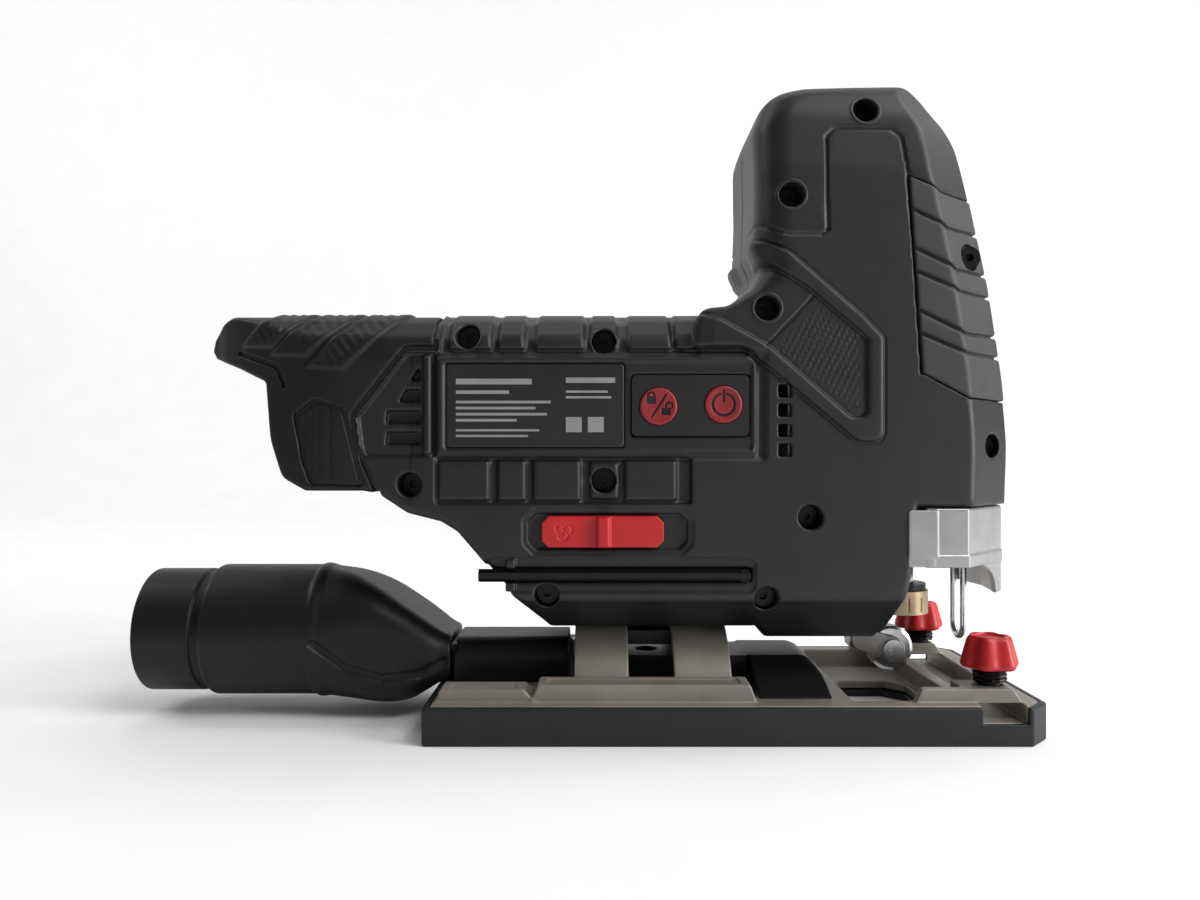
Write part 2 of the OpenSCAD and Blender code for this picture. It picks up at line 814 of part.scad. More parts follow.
module cooling_fan() {
  blades = 9;
  x = [27, 36];
  color("#2c2f33") translate([0, 0, motor_z]) difference() {
    union() {
      cyl_x([x[0], x[0] + 1.5], 0, 0, 15);
      cyl_x(x, 0, 0, 4.5);
      for (i = [0:blades - 1]) {
        rotate([i * 360 / blades, 0, 0]) box([x[0], -0.6, 3], [x[1] - 1, 0.6, 15]);
      }
    }
    cyl_x([20, 40], 0, 0, 2);
  }
}

module pinion() {
  color("#a9abad") translate([0, 0, motor_z]) difference() {
    front_extrude([56.5, 65]) gear_outline(pinion_teeth, 0.85, 1.1, 0.35, 90);
    cyl_x([50, 70], 0, 0, 2);
  }
}

module drive_gear() {
  color("#8f9194") translate([0, 0, gear_z]) difference() {
    union() {
      front_extrude(gear_x) gear_outline(gear_teeth, 0.8, 1.2, 0.3, 180 / gear_teeth);
      cyl_x([54.8, 66.3], 0, 0, 6);
      // cast-in balance weight opposite the crank pin
      intersection() {
        cyl_x([gear_x[1] - 1, 67], 0, 0, 17);
        rotate([-atan2(crank_pos[1], crank_pos[0]), 0, 0]) box([60, -20, -9], [70, -8, 9]);
      }
    }
    cyl_x([50, 70], 0, 0, 2.5 + fit);
    cyl_x([60, 70], crank_pos[0], crank_pos[1], 3);
    for (a = [35, 95]) {
      rotate([a, 0, 0]) cyl_x([50, 70], 13, 0, 2.5);
    }
  }
}

module crank_pin() {
  color("#c0c2c5") cyl_x([60, 70], crank_pos[0], gear_z + crank_pos[1], 3);
}

module plunger_rod() {
  color("#d0d2d4") cyl_z(plunger_x, 0, rod_z, rod_r);
}

module yoke_plate() {
  slot_z = gear_z + crank_pos[1];
  reach = crank_r + 3.3;
  color("#a2a4a7") difference() {
    union() {
      mid_box(yoke_x, reach + 3, [slot_z - 6.5, slot_z + 6.5]);
      mid_box([yoke_x[0], plunger_x], 6.5, [slot_z - 5, slot_z + 5]);
      cyl_z(plunger_x, 0, [slot_z - 5, slot_z + 5], 6.5);
    }
    box([yoke_x[0] - 1, -reach, slot_z - 3.2], [yoke_x[1] - 1.5, reach, slot_z + 3.2]);
    cyl_z(plunger_x, 0, [80, 120], rod_r);
  }
}

clamp_z = [28, 34.7];

module blade_clamp() {
  color("#8e9093") difference() {
    cyl_z(plunger_x, 0, [28.6, rod_z[0]], 5.4);
    mid_box([plunger_x - 4.3, plunger_x + 4.3], 0.8, [20, 34]);
  }
}

module clamp_washers() {
  color("#17181a") difference() {
    cyl_z(plunger_x, 0, [clamp_z[1] + 0.15, rod_z[0]], 7.4);
    cyl_z(plunger_x, 0, [30, 40], 5.4);
  }
}

module clamp_collar() {
  color("#b59a72") difference() {
    cyl_z(plunger_x, 0, clamp_z, 8);
    cyl_z(plunger_x, 0, [20, 40], 5.4 + fit);
    cyl_z(plunger_x, 0, [30.5, 40], 7);
    for (a = [0:30:330]) {
      translate([plunger_x, 0, 0]) rotate([0, 0, a]) cyl_z(8.3, 0, [29, 33], 0.6, $fn = 24);
    }
  }
}

module clamp_spring() {
  color("#6a6c6e") translate([plunger_x, 0, 0]) coil(6.2, 0.45, [31.1, 34.1], 3);
}

module roller_fork() {
  pivot = fork_pos;
  hub = roller_pos;
  color("#8c8a86") difference() {
    union() {
      for (y = [[-4.4, -2.8], [2.8, 4.4]]) {
        side_extrude(y) polygon([[pivot[0] - 3.5, pivot[1] + 3.5], [pivot[0] - 3.5, 16], [pivot[0] - 1, 13],
          [hub[0] + 1, 14], [hub[0] + 3.6, 16], [hub[0] + 3.6, 19.5], [hub[0] + 1, 21.4],
          [pivot[0] + 3, 23], [pivot[0] + 3.5, pivot[1] + 3.5]]);
      }
      mid_box([pivot[0] - 3.5, pivot[0] + 0.5], 3, [14, pivot[1] + 3.5]);
    }
    cyl_y(pivot[0], [-10, 10], pivot[1], 2 + fit);
    cyl_y(hub[0], [-10, 10], hub[1], 2);
  }
}

module guide_roller() {
  color("#b9bbbe") translate([roller_pos[0], 0, roller_pos[1]]) rotate([90, 0, 0])
    rotate_extrude() polygon([[2 + fit, -2.5], [5.6, -2.5], [6.5, -1.9], [6.5, -0.9], [5.6, -0.6],
      [5.6, 0.6], [6.5, 0.9], [6.5, 1.9], [5.6, 2.5], [2 + fit, 2.5]]);
}

module roller_pin() {
  color("#c6c8ca") {
    cyl_y(roller_pos[0], [-5, 5], roller_pos[1], 2);
    cyl_y(roller_pos[0], [-5.3, -4.45], roller_pos[1], 2.9);
    cyl_y(roller_pos[0], [4.45, 5.3], roller_pos[1], 2.9);
  }
}

module fork_pivot() {
  color("#c6c8ca") cyl_y(fork_pos[0], [-10.5, 10.5], fork_pos[1], 2);
}

module pendulum_lever() {
  outer = half_w + gap;
  color("#c01018") {
    cyl_y(lever_pos[0], [outer, outer + 3.2], lever_pos[1], 8);
    box([lever_pos[0] - 2.5, outer, lever_pos[1]], [lever_pos[0] + 2.5, outer + 4.5, lever_pos[1] + 14]);
    cyl_y(lever_pos[0], [21, outer + 1], lever_pos[1], 3);
  }
}

sole_shoe();
base_plate();
dust_duct();
knob_right();
knob_left();
knob_screw_right();
knob_screw_left();
knob_spring_right();
knob_spring_left();
dust_nozzle();
housing_right();
housing_left();
housing_screws();
tail_grip();
front_grip();
label_plate();
switch_panel();
control_board();
nose_cover();
finger_guard();
motor_can();
motor_end_plate();
motor_bearings();
gear_case();
gear_axle();
lower_guide();
upper_guide();
terminal_block();
terminal_contacts();
bevel_clamp();
bevel_screw();
armature();
commutator();
motor_shaft();
cooling_fan();
pinion();
drive_gear();
crank_pin();
plunger_rod();
yoke_plate();
blade_clamp();
clamp_washers();
clamp_collar();
clamp_spring();
roller_fork();
guide_roller();
roller_pin();
fork_pivot();
pendulum_lever();
power_button();
lock_button();
blower_slider();
hex_key();
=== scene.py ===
import json
import math

import bpy
import numpy as np
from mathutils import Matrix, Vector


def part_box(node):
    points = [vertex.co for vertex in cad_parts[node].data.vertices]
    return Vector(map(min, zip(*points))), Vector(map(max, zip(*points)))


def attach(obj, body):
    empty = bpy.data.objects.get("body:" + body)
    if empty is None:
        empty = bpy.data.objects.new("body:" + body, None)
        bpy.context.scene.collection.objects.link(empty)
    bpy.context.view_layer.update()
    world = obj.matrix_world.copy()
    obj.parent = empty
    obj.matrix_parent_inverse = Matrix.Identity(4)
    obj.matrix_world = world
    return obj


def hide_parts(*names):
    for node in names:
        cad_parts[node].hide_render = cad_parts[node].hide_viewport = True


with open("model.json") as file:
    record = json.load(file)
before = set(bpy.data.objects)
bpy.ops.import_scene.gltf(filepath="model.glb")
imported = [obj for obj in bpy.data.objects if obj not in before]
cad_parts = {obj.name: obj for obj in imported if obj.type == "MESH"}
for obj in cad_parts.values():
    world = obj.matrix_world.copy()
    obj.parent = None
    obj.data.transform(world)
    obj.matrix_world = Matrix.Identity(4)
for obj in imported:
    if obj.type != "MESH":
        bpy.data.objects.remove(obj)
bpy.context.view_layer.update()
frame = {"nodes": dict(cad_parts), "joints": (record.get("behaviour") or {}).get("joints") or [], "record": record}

import openvdb
from mathutils import Vector

# Shapes are worked out in millimetres in the frame's axes, and meshed in metres.
MM = 0.001
FINE = 0.42        # grid step of the housing halves
SMALL = 0.25       # grid step of the smaller mouldings and castings
TINY = 0.12        # grid step of buttons and knobs
FACE_LIMIT = 180000
DIAGONAL = 0.7071                         # scales x + y to the distance from a 45 degree plane


def pivot(joint):
    """Where a joint turns, in millimetres."""
    found = next(j for j in frame["joints"] if j["name"] == joint)
    return [round(v / MM, 2) for v in found["pos_m"]]


def corners(node):
    """The lowest and highest corner of a CAD node, in millimetres."""
    return [[round(v / MM, 1) for v in corner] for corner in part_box(node)]


def middle(node, k):
    """The middle of a CAD node along axis k, in millimetres."""
    low, high = corners(node)
    return round((low[k] + high[k]) / 2, 1)


def face_of(node):
    """The X and Z extent of a CAD node: left, right, low, high."""
    low, high = corners(node)
    return low[0], high[0], low[2], high[2]


SOLE_LOW, SOLE_HIGH = corners("sole_shoe")
DUCT_LOW, DUCT_HIGH = corners("dust_duct")
KNOB_X, KNOB_Y = pivot("left_knob_turn")[:2]
ACCESS_X = pivot("bevel_tilt")[0]         # the key's hole through the foot, to the bevel screw
MOTOR_Z = pivot("motor_spin")[2]
PLUNGER_X = pivot("clamp_twist")[0]
FORK_PIVOT = pivot("fork_swing")[::2]
ROLLER = pivot("roller_spin")[::2]
LEVER = pivot("pendulum_select")[::2]
NOZZLE_Z = middle("dust_nozzle", 2)
KEY_Z = middle("hex_key", 2)
BUTTONS = {name: (middle(name, 0), middle(name, 2)) for name in ("lock_button", "power_button")}
LABEL = face_of("label_plate")
SWITCHES = face_of("switch_panel")

HALF_WIDTH = 28.5                         # of the housing
WALL = 2.5
LABEL_Y = -HALF_WIDTH + 0.6               # the label's face
SEAT_DEPTH, GRIP_DEPTH = 1.2, 1.1         # of the soft grips' seats, and of the grips in them
ARCH_R = 27
ARCHES = ((-7, 7.7), (20, 35.5))          # the two bevel arches along X
DECK_Z = 10
ACCESS_R = 3.2
FENCE_X, FENCE_Z = (97.3, 108.9), 5.6     # the fence bar's tunnel across the foot, and its floor


# ---------------------------------------------------------------- distance fields

def smooth_max(a, b, k):
    """The larger of two distances, with the edge between them rounded over about k."""
    if np.all(k <= 0):
        return np.maximum(a, b)
    h = np.maximum(k - np.abs(a - b), 0) / k
    return np.maximum(a, b) + h * h * (k / 4)


def smooth_min(a, b, k):
    return -smooth_max(-a, -b, k)


def polyline(u, v, points):
    """Distance to an open line through the points."""
    best = np.inf
    for (au, av), (bu, bv) in zip(points, points[1:]):
        eu, ev = bu - au, bv - av
        wu, wv = u - au, v - av
        t = np.clip((wu * eu + wv * ev) / max(eu * eu + ev * ev, 1e-9), 0, 1)
        best = np.minimum(best, (wu - eu * t) ** 2 + (wv - ev * t) ** 2)
    return np.sqrt(best).astype(np.float32)


def outline(u, v, points):
    """Signed distance to a closed outline, negative inside."""
    closed = points + points[:1]
    inside = False
    for (au, av), (bu, bv) in zip(closed, closed[1:]):
        above, below = v >= av, v < bv
        left = (bu - au) * (v - av) > (bv - av) * (u - au)
        inside = inside ^ ((above & below & left) | (~above & ~below & ~left))
    return polyline(u, v, closed) * np.where(inside, -1, 1).astype(np.float32)


def rectangle(u, v, low, high, r=0.0):
    """Signed distance to a rectangle with corner radius r."""
    cu, cv = (low[0] + high[0]) / 2, (low[1] + high[1]) / 2
    qu = np.abs(u - cu) - (high[0] - low[0]) / 2 + r
    qv = np.abs(v - cv) - (high[1] - low[1]) / 2 + r
    outside = np.sqrt(np.maximum(qu, 0) ** 2 + np.maximum(qv, 0) ** 2)
    return outside + np.minimum(np.maximum(qu, qv), 0) - r


def circle(u, v, cu, cv, r=0.0):
    return np.sqrt((u - cu) ** 2 + (v - cv) ** 2) - r


def slab(w, low, high):
    """Signed distance to the space between two planes."""
    return np.maximum(low - w, w - high)


def rounded(points, default=0.0):
    """A closed outline with its corners rounded: a point may carry its own radius third."""
    out = []
    for i, p in enumerate(points):
        radius = p[2] if len(p) > 2 else default
        here = np.array(p[:2], float)
        back = np.array(points[i - 1][:2], float) - here
        ahead = np.array(points[(i + 1) % len(points)][:2], float) - here
        len_back, len_ahead = np.linalg.norm(back), np.linalg.norm(ahead)
        if radius <= 0 or min(len_back, len_ahead) < 1e-6:
            out.append((float(here[0]), float(here[1])))
            continue
        back, ahead = back / len_back, ahead / len_ahead
        half = math.acos(max(-1.0, min(1.0, float(back @ ahead)))) / 2
        reach = min(radius / math.tan(max(half, 1e-3)), 0.49 * len_back, 0.49 * len_ahead)
        a, b = here + back * reach, here + ahead * reach
        count = max(5, int(2 * reach))          # short curves still get five steps
        for k in range(count + 1):
            t = k / count
            q = a * (1 - t) ** 2 + here * 2 * t * (1 - t) + b * t ** 2
            out.append((float(q[0]), float(q[1])))
    return out


def mirror_outline(points):
    """Completes a half outline by reflection in its first axis."""
    return points + [(-p[0],) + tuple(p[1:]) for p in reversed(points)]


def eased(w, places, values, width):
    """A value that varies along an axis, with the corners of its graph smoothed over a width."""
    return sum(np.interp(w + width * k, places, values) for k in np.linspace(-0.5, 0.5, 9)) / 9


def raised(sd, height, edge):
    """A height inside an outline that slopes to nothing over the edge's width."""
    t = np.clip(0.5 - sd / edge, 0, 1)
    return height * t * t * (3 - 2 * t)


def groove(distance, width, depth):
    """A rounded groove along a line."""
    t = np.clip(1 - distance / (width / 2), 0, 1)
    return -depth * np.sqrt(t * (2 - t))


class Shape:
    """A distance function of x, y and z, with the box it lies in."""

    def __init__(self, sd, low, high):
        self.sd, self.low, self.high = sd, low, high


def block(low, high, r=0.0):
    def sd(x, y, z):
        return np.maximum(rectangle(x, y, low[:2], high[:2], r), slab(z, low[2], high[2]))
    return Shape(sd, low, high)


ACROSS = {"x": (1, 2, 0), "y": (0, 2, 1), "z": (0, 1, 2)}       # the two axes across, then the axis


def box_corner(axis, u, v, w):
    """A point from its two coordinates across an axis and the one along it."""
    return tuple(value for _, value in sorted(zip(ACROSS[axis], (u, v, w))))


def rod(axis, a, b, span, r):
    """A cylinder along an axis, through the point (a, b) of the other two axes."""
    def sd(*xyz):
        u, v, w = (xyz[k] for k in ACROSS[axis])
        return np.maximum(circle(u, v, a, b, r), slab(w, *span))
    return Shape(sd, box_corner(axis, a - r, b - r, span[0]), box_corner(axis, a + r, b + r, span[1]))


def prism(axis, points, span):
    """An outline in the other two axes, extruded along an axis."""
    us, vs = zip(*points)

    def sd(*xyz):
        u, v, w = (xyz[k] for k in ACROSS[axis])
        return np.maximum(outline(u, v, points), slab(w, *span))
    return Shape(sd, box_corner(axis, min(us), min(vs), span[0]),
                 box_corner(axis, max(us), max(vs), span[1]))


REACH = 3.0       # distances are cut off here


class Solid:
    """A solid sampled on a grid, in millimetres, that shapes are added to and cut from."""

    def __init__(self, low, high, step):
        self.low, self.step = np.array(low, float), step
        axes = [np.arange(a, b + step, step, dtype=np.float32) for a, b in zip(low, high)]
        self.x, self.y, self.z = np.ix_(*axes)
        self.size = tuple(len(a) for a in axes)
        self.field = np.full(self.size, REACH, dtype=np.float32)

    def window(self, shape, margin):
        """The part of the grid within a margin of a shape's box."""
        start = [max(0, int((a - margin - l) / self.step)) for a, l in zip(shape.low, self.low)]
        stop = [min(n, int((b + margin - l) / self.step) + 2)
                for b, l, n in zip(shape.high, self.low, self.size)]
        return tuple(slice(i, max(i, j)) for i, j in zip(start, stop))

    def sample(self, shape, s):
        return shape.sd(self.x[s[0]], self.y[:, s[1]], self.z[:, :, s[2]])

    def add(self, *shapes, k=0.0):
        for shape in shapes:
            s = self.window(shape, 2 + k)
            self.field[s] = smooth_min(self.field[s], self.sample(shape, s), k)

    def cut(self, *shapes, k=0.0):
        for shape in shapes:
            s = self.window(shape, 2 + k)
            self.field[s] = smooth_max(self.field[s], -self.sample(shape, s), k)

    def set(self, sd):
        self.field = sd.astype(np.float32)

    def join(self, sd, k=0.0):
        self.set(smooth_min(self.field, sd, k))

    def keep(self, sd, k=0.0):
        self.set(smooth_max(self.field, sd, k))


def signed_volume(mesh):
    mesh.calc_loop_triangles()
    co = np.zeros(len(mesh.vertices) * 3)
    mesh.vertices.foreach_get("co", co)
    tri = np.zeros(len(mesh.loop_triangles) * 3, dtype=np.int32)
    mesh.loop_triangles.foreach_get("vertices", tri)
    a, b, c = (co.reshape(-1, 3)[tri.reshape(-1, 3)[:, i]] for i in range(3))
    return float(np.einsum("ij,ij->i", a, np.cross(b, c)).sum() / 6)


def link(obj):
    bpy.context.scene.collection.objects.link(obj)
    return obj


def apply_modifiers(obj):
    bpy.context.view_layer.update()
    done = bpy.data.meshes.new_from_object(obj.evaluated_get(bpy.context.evaluated_depsgraph_get()))
    obj.modifiers.clear()
    old, obj.data = obj.data, done
    bpy.data.meshes.remove(old)


def surface(name, solid, limit=FACE_LIMIT):
    """The closed surface of a sampled solid, thinned to at most limit triangles."""
    cells = openvdb.FloatGrid(REACH)
    cells.copyFromArray(np.ascontiguousarray(np.clip(solid.field, -REACH, REACH), dtype=np.float32))
    points, tris, quads = cells.convertToPolygons(isovalue=0.0, adaptivity=0.0)
    points = (points.astype(float) * solid.step + solid.low) * MM
    mesh = bpy.data.meshes.new(name)
    mesh.vertices.add(len(points))
    mesh.vertices.foreach_set("co", points.ravel())
    corners = np.concatenate([quads.ravel(), tris.ravel()]).astype(np.int32)
    starts = np.concatenate([np.arange(len(quads)) * 4, len(quads) * 4 + np.arange(len(tris)) * 3])
    mesh.loops.add(len(corners))
    mesh.loops.foreach_set("vertex_index", corners)
    mesh.polygons.add(len(starts))
    mesh.polygons.foreach_set("loop_start", starts.astype(np.int32))
    mesh.update(calc_edges=True)
    mesh.validate()
    obj = link(bpy.data.objects.new(name, mesh))
    count = 2 * len(quads) + len(tris)
    if count > limit:
        thin = obj.modifiers.new("thin", "DECIMATE")
        thin.ratio = limit / count
        apply_modifiers(obj)
    if signed_volume(obj.data) < 0:
        obj.data.flip_normals()
    obj.data.polygons.foreach_set("use_smooth", np.ones(len(obj.data.polygons), dtype=bool))
    obj.modifiers.new("even_shading", "WEIGHTED_NORMAL").weight = 80
    return obj


# ---------------------------------------------------------------- materials

MATERIALS = {}


class Shader:
    """A principled material with helpers for its procedural detail."""

    def __init__(self, name, colour, roughness, metallic=0.0, **fixed):
        MATERIALS[name] = material = bpy.data.materials.new(name)
        material.use_nodes = True
        self.tree = material.node_tree
        self.bsdf = self.tree.nodes["Principled BSDF"]
        self.bsdf.inputs["Base Color"].default_value = (*colour, 1)
        self.bsdf.inputs["Roughness"].default_value = roughness
        self.bsdf.inputs["Metallic"].default_value = metallic
        for key, value in fixed.items():
            self.bsdf.inputs[key.replace("_", " ")].default_value = value
        self.coords = self.node("ShaderNodeTexCoord").outputs["Object"]

    def node(self, kind, **inputs):
        n = self.tree.nodes.new(kind)
        for key, value in inputs.items():
            n.inputs[key.replace("_", " ")].default_value = value
        return n

    def link(self, a, b):
        self.tree.links.new(a, b)

    def noise(self, size_mm, detail=3.0, stretch=(1, 1, 1)):
        """Noise whose cells are about size_mm across."""
        mapping = self.node("ShaderNodeMapping", Scale=tuple(s / (size_mm * MM) for s in stretch))
        self.link(self.coords, mapping.inputs["Vector"])
        noise = self.node("ShaderNodeTexNoise", Scale=1.0, Detail=detail)
        self.link(mapping.outputs["Vector"], noise.inputs["Vector"])
        return noise.outputs["Fac"]

    def ramp(self, source, low, high, out_low, out_high):
        n = self.node("ShaderNodeMapRange", From_Min=low, From_Max=high, To_Min=out_low,
                      To_Max=out_high)
        self.link(source, n.inputs["Value"])
        return n.outputs["Result"]

    def mix(self, factor, a, b):
        """Blends two colours, either of which may be a socket."""
        n = self.tree.nodes.new("ShaderNodeMix")
        n.data_type = "RGBA"
        self.link(factor, n.inputs[0])
        for socket, value in ((n.inputs[6], a), (n.inputs[7], b)):
            if isinstance(value, tuple):
                socket.default_value = (*value, 1)
            else:
                self.link(value, socket)
        return n.outputs[2]

    def bump(self, source, height_mm):
        n = self.node("ShaderNodeBump", Strength=1.0, Distance=height_mm * MM)
        self.link(source, n.inputs["Height"])
        self.link(n.outputs["Normal"], self.bsdf.inputs["Normal"])

    def edges(self, low=0.52, high=0.60):
        """Lighter along convex edges: a mask for a painted highlight."""
        return self.ramp(self.node("ShaderNodeNewGeometry").outputs["Pointiness"], low, high, 0, 1)


def scaled(colour, factor, lift=0.0):
    return tuple(min(1.0, c * factor + lift) for c in colour)


def moulded(name, colour, roughness, grain_mm=0.3, depth=0.012, edge_highlight=1.5, shine=0.5):
    """Injection-moulded plastic: spark-eroded grain, faint mottling and a painted highlight along the edges."""
    s = Shader(name, colour, roughness, Specular_IOR_Level=shine)
    grain = s.noise(grain_mm, 2.0)
    mottle = s.ramp(s.noise(9.0, 4.0), 0.35, 0.65, 0, 1)
    tint = s.mix(mottle, scaled(colour, 0.86), scaled(colour, 1.12))
    # painted highlight: the convex edges are lightened towards a brighter copy of the colour
    edge = s.ramp(s.edges(), 0, 1, 0, 0.35)
    s.link(s.mix(edge, tint, scaled(colour, edge_highlight, 0.004)), s.bsdf.inputs["Base Color"])
    s.link(s.ramp(grain, 0.3, 0.7, roughness - 0.06, roughness + 0.07), s.bsdf.inputs["Roughness"])
    s.bump(grain, depth)


def cast_metal(name, colour, roughness, metallic, grain_mm=0.6, depth=0.02):
    """Painted or blasted die casting: a pebbly skin with a painted highlight along its edges."""
    s = Shader(name, colour, roughness, metallic)
    skin = s.noise(grain_mm, 3.0)
    mottle = s.ramp(s.noise(14.0, 3.0), 0.35, 0.65, 0, 1)
    tint = s.mix(mottle, scaled(colour, 0.88), scaled(colour, 1.1))
    # painted highlight: the convex edges are lightened towards a brighter copy of the colour
    edge = s.ramp(s.edges(0.53, 0.62), 0, 1, 0, 0.3)
    s.link(s.mix(edge, tint, scaled(colour, 1.6, 0.03)), s.bsdf.inputs["Base Color"])
    s.link(s.ramp(skin, 0.3, 0.7, roughness - 0.08, roughness + 0.08), s.bsdf.inputs["Roughness"])
    s.bump(skin, depth)


def worked_metal(name, colour, roughness, stretch=(1, 1, 1), metallic=1.0):
    """Turned or ground metal with fine tool marks and slight staining."""
    s = Shader(name, colour, roughness, metallic)
    lines = s.noise(0.25, 2.0, stretch)
    tint = s.mix(s.ramp(s.noise(6.0, 4.0), 0.35, 0.7, 0, 1), colour, scaled(colour, 0.78))
    s.link(tint, s.bsdf.inputs["Base Color"])
    s.link(s.ramp(lines, 0.3, 0.7, roughness - 0.06, roughness + 0.1), s.bsdf.inputs["Roughness"])
    s.bump(lines, 0.004)


# The finishes, most of them named as the slots they dress
moulded("shell_black", (0.0098, 0.0104, 0.0125), 0.47, shine=0.42)
moulded("grip_rubber", (0.0075, 0.0076, 0.0085), 0.52, 0.22, 0.01, shine=0.32)
moulded("front_rubber", (0.024, 0.025, 0.028), 0.60, 0.26, 0.012)
moulded("nozzle_black", (0.005, 0.005, 0.0056), 0.46, 0.5, 0.004, shine=0.3)
moulded("shoe_black", (0.009, 0.0095, 0.0122), 0.5, 0.4, 0.015, shine=0.38)
moulded("inner_plastic", (0.02, 0.021, 0.023), 0.5)
moulded("red_plastic", (0.46, 0.008, 0.010), 0.42, 0.4, 0.004, 1.25)
moulded("button_red", (0.21, 0.008, 0.011), 0.5, 0.3, 0.006, 1.2)
moulded("label_film", (0.012, 0.0125, 0.014), 0.4, 0.6, 0.003)
moulded("label_ink", (0.20, 0.205, 0.21), 0.5, 0.4, 0.002)
moulded("panel_black", (0.006, 0.006, 0.007), 0.42, 0.25, 0.004)
moulded("board_green", (0.012, 0.08, 0.035), 0.35, 1.2, 0.01)
cast_metal("casting_grey", (0.215, 0.197, 0.170), 0.5, 0.25)
cast_metal("casting_silver", (0.34, 0.34, 0.335), 0.42, 0.7, 0.45, 0.012)
cast_metal("sintered", (0.24, 0.23, 0.22), 0.42, 0.9, 0.25, 0.01)
worked_metal("steel_dark", (0.03, 0.03, 0.032), 0.38)
worked_metal("steel_bright", (0.62, 0.63, 0.65), 0.2)
worked_metal("clamp_tan", (0.46, 0.36, 0.22), 0.36, (1, 1, 4), 0.55)
worked_metal("bronze", (0.45, 0.30, 0.14), 0.34)
worked_metal("contact_brass", (0.68, 0.48, 0.2), 0.28)
worked_metal("copper", (0.55, 0.24, 0.1), 0.3)
worked_metal("lamination", (0.10, 0.06, 0.04), 0.45, (6, 1, 1), 0.6)


def finish_piece(obj, body, slot, node=None, material=None):
    """Gives a piece its body and its material, named by the slot unless another is given, and hides the CAD node
    it replaces, if any.
    """
    obj.data.materials.clear()
    obj.data.materials.append(MATERIALS[material or slot])
    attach(obj, body)
    if node:
        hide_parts(node)


# ---------------------------------------------------------------- housing shape

BARREL_SIDE = rounded([
    (-90.8, 93.4, 1), (-99.5, 97.2, 20), (-110.4, 101, 1), (-112.3, 103.5, 1.2), (-111.2, 107, 2),
    (-106.8, 111, 3), (-101.5, 113, 4), (-97, 113, 6), (48, 113), (48, 30), (43, 26, 1), (-14, 26, 2),
    (-37.7, 53.6, 4), (-42, 56.3, 3), (-51, 58.6, 4), (-58, 63.2, 2), (-63, 64, 1), (-78.5, 64, 2),
    (-85.6, 67.6, 5), (-89.4, 78, 20)])
HEAD_SIDE = rounded([
    (40, 30), (46, 23, 2), (76.5, 23, 1), (79, 26.5, 1), (82.4, 42, 4), (83, 50, 2), (84, 60.2),
    (113.6, 60.2), (114.2, 77, 20), (112.6, 95, 30), (108.6, 121, 30), (102.9, 147, 12), (99.9, 159, 6),
    (96.4, 166.6, 4), (90, 172.3, 6), (82, 177.2, 4), (54.5, 178, 9), (45.2, 173.6, 12), (41.6, 162, 12),
    (42, 145, 20), (41.4, 130, 3), (42.8, 127, 2), (43.8, 124, 3), (40.6, 118.5, 4), (34, 113.6, 5),
    (26, 112.8, 6), (24, 100), (34, 60)])
# The tail's half width narrows to the rear, as X and half width
TAIL_X = [-112, -109, -103, -95, -84, -70, -40]
TAIL_HALF = [3, 9, 15, 20.8, 25.8, HALF_WIDTH, HALF_WIDTH]
# The head's front edge on the centre plane, as Z and X, which its side facets follow
FRONT_Z = [60, 77, 95, 121, 147, 159, 166, 172]
FRONT_X = [113.6, 114.2, 112.6, 108.6, 102.9, 99.9, 96.4, 88.5]
FACET_HALF = 12.6                        # half the width of the front between the facets
FACET_NORMAL = (0.716, 0.698)            # a facet's slope in X and Y
NOSE_PLAN = [(60, HALF_WIDTH), (97.3, HALF_WIDTH), (112.8, FACET_HALF), (114.5, 0),
             (112.8, -FACET_HALF), (97.3, -HALF_WIDTH), (60, -HALF_WIDTH)]
BARREL_FRONT = rounded(mirror_outline([
    (14, 20), (14, 26, 2), (28, 35.5, 1.5), (28.5, 38), (28.5, 99, 3), (27, 105.4, 4), (22.2, 110, 5),
    (15, 113.3, 6), (2, 117)]))
HEAD_FRONT = rounded(mirror_outline([
    (14, 18), (14, 23, 2), (28, 35.5, 1.5), (28.5, 38), (28.5, 130, 40), (28.4, 150, 30), (27, 164.5, 14),
    (23.8, 172.7, 8), (15.5, 175.7, 8), (2, 175.85)]))

# Housing screws, as X, Z and the distance of the head's seat from the centre plane
SCREWS = [(70.4, 165.5, 16), (50.5, 142.6, 20), (101, 127.9, 17), (44, 112.7, 20), (107, 76.4, 11),
          (55.5, 57.5, 20), (44, 36, 20), (-14.1, 36.8, 20), (1, 104.1, 19), (-35.1, 105.4, 19),
          (-50.3, 66.1, 20), (1, 67.2, 20)]
RIMMED = SCREWS[0:2] + SCREWS[3:4]       # screw holes with a raised rim
GRIP_SCREW, SLEEVE_SCREW = SCREWS[2], SCREWS[10]

SLEEVE = rounded([
    (-120, 130), (-42.6, 130), (-42.6, 101.6, 0.8), (-51, 101.6, 1.5), (-64.6, 84.1, 3), (-63.6, 76.6, 2),
    (-58, 64, 2), (-56, 55), (-120, 55)])
FRONT_GRIP = [(81.1, 148), (84.7, 95.5), (97.2, 88.8), (130, 88.3), (130, 145), (104, 145), (90.6, 144)]
GRIP_GROOVES = [
    [(81.6, 139.1), (92.1, 134.1), (105.9, 135.2), (120, 136)],
    [(82.4, 128.8), (94.5, 123.1), (108.2, 123.9), (120, 124.5)],
    [(83.2, 122.5), (95.3, 117.3), (109.3, 117.7), (120, 118)],
    [(83.7, 112.3), (96.6, 106), (111, 106.8), (120, 107.2)],
    [(84, 106.3), (96.9, 100.8), (111.3, 100.9), (120, 101)]]
PANEL = rounded([(-43, 74), (41.2, 74), (41.2, 98.2), (39.6, 100.2), (-43, 100.2)], 0.6)
SLOT = rounded([(-18.9, 51), (-16.9, 49), (21, 49), (23, 51), (23, 56.5), (21, 58.5), (-16.9, 58.5),
                (-18.9, 56.5)], 0.8)


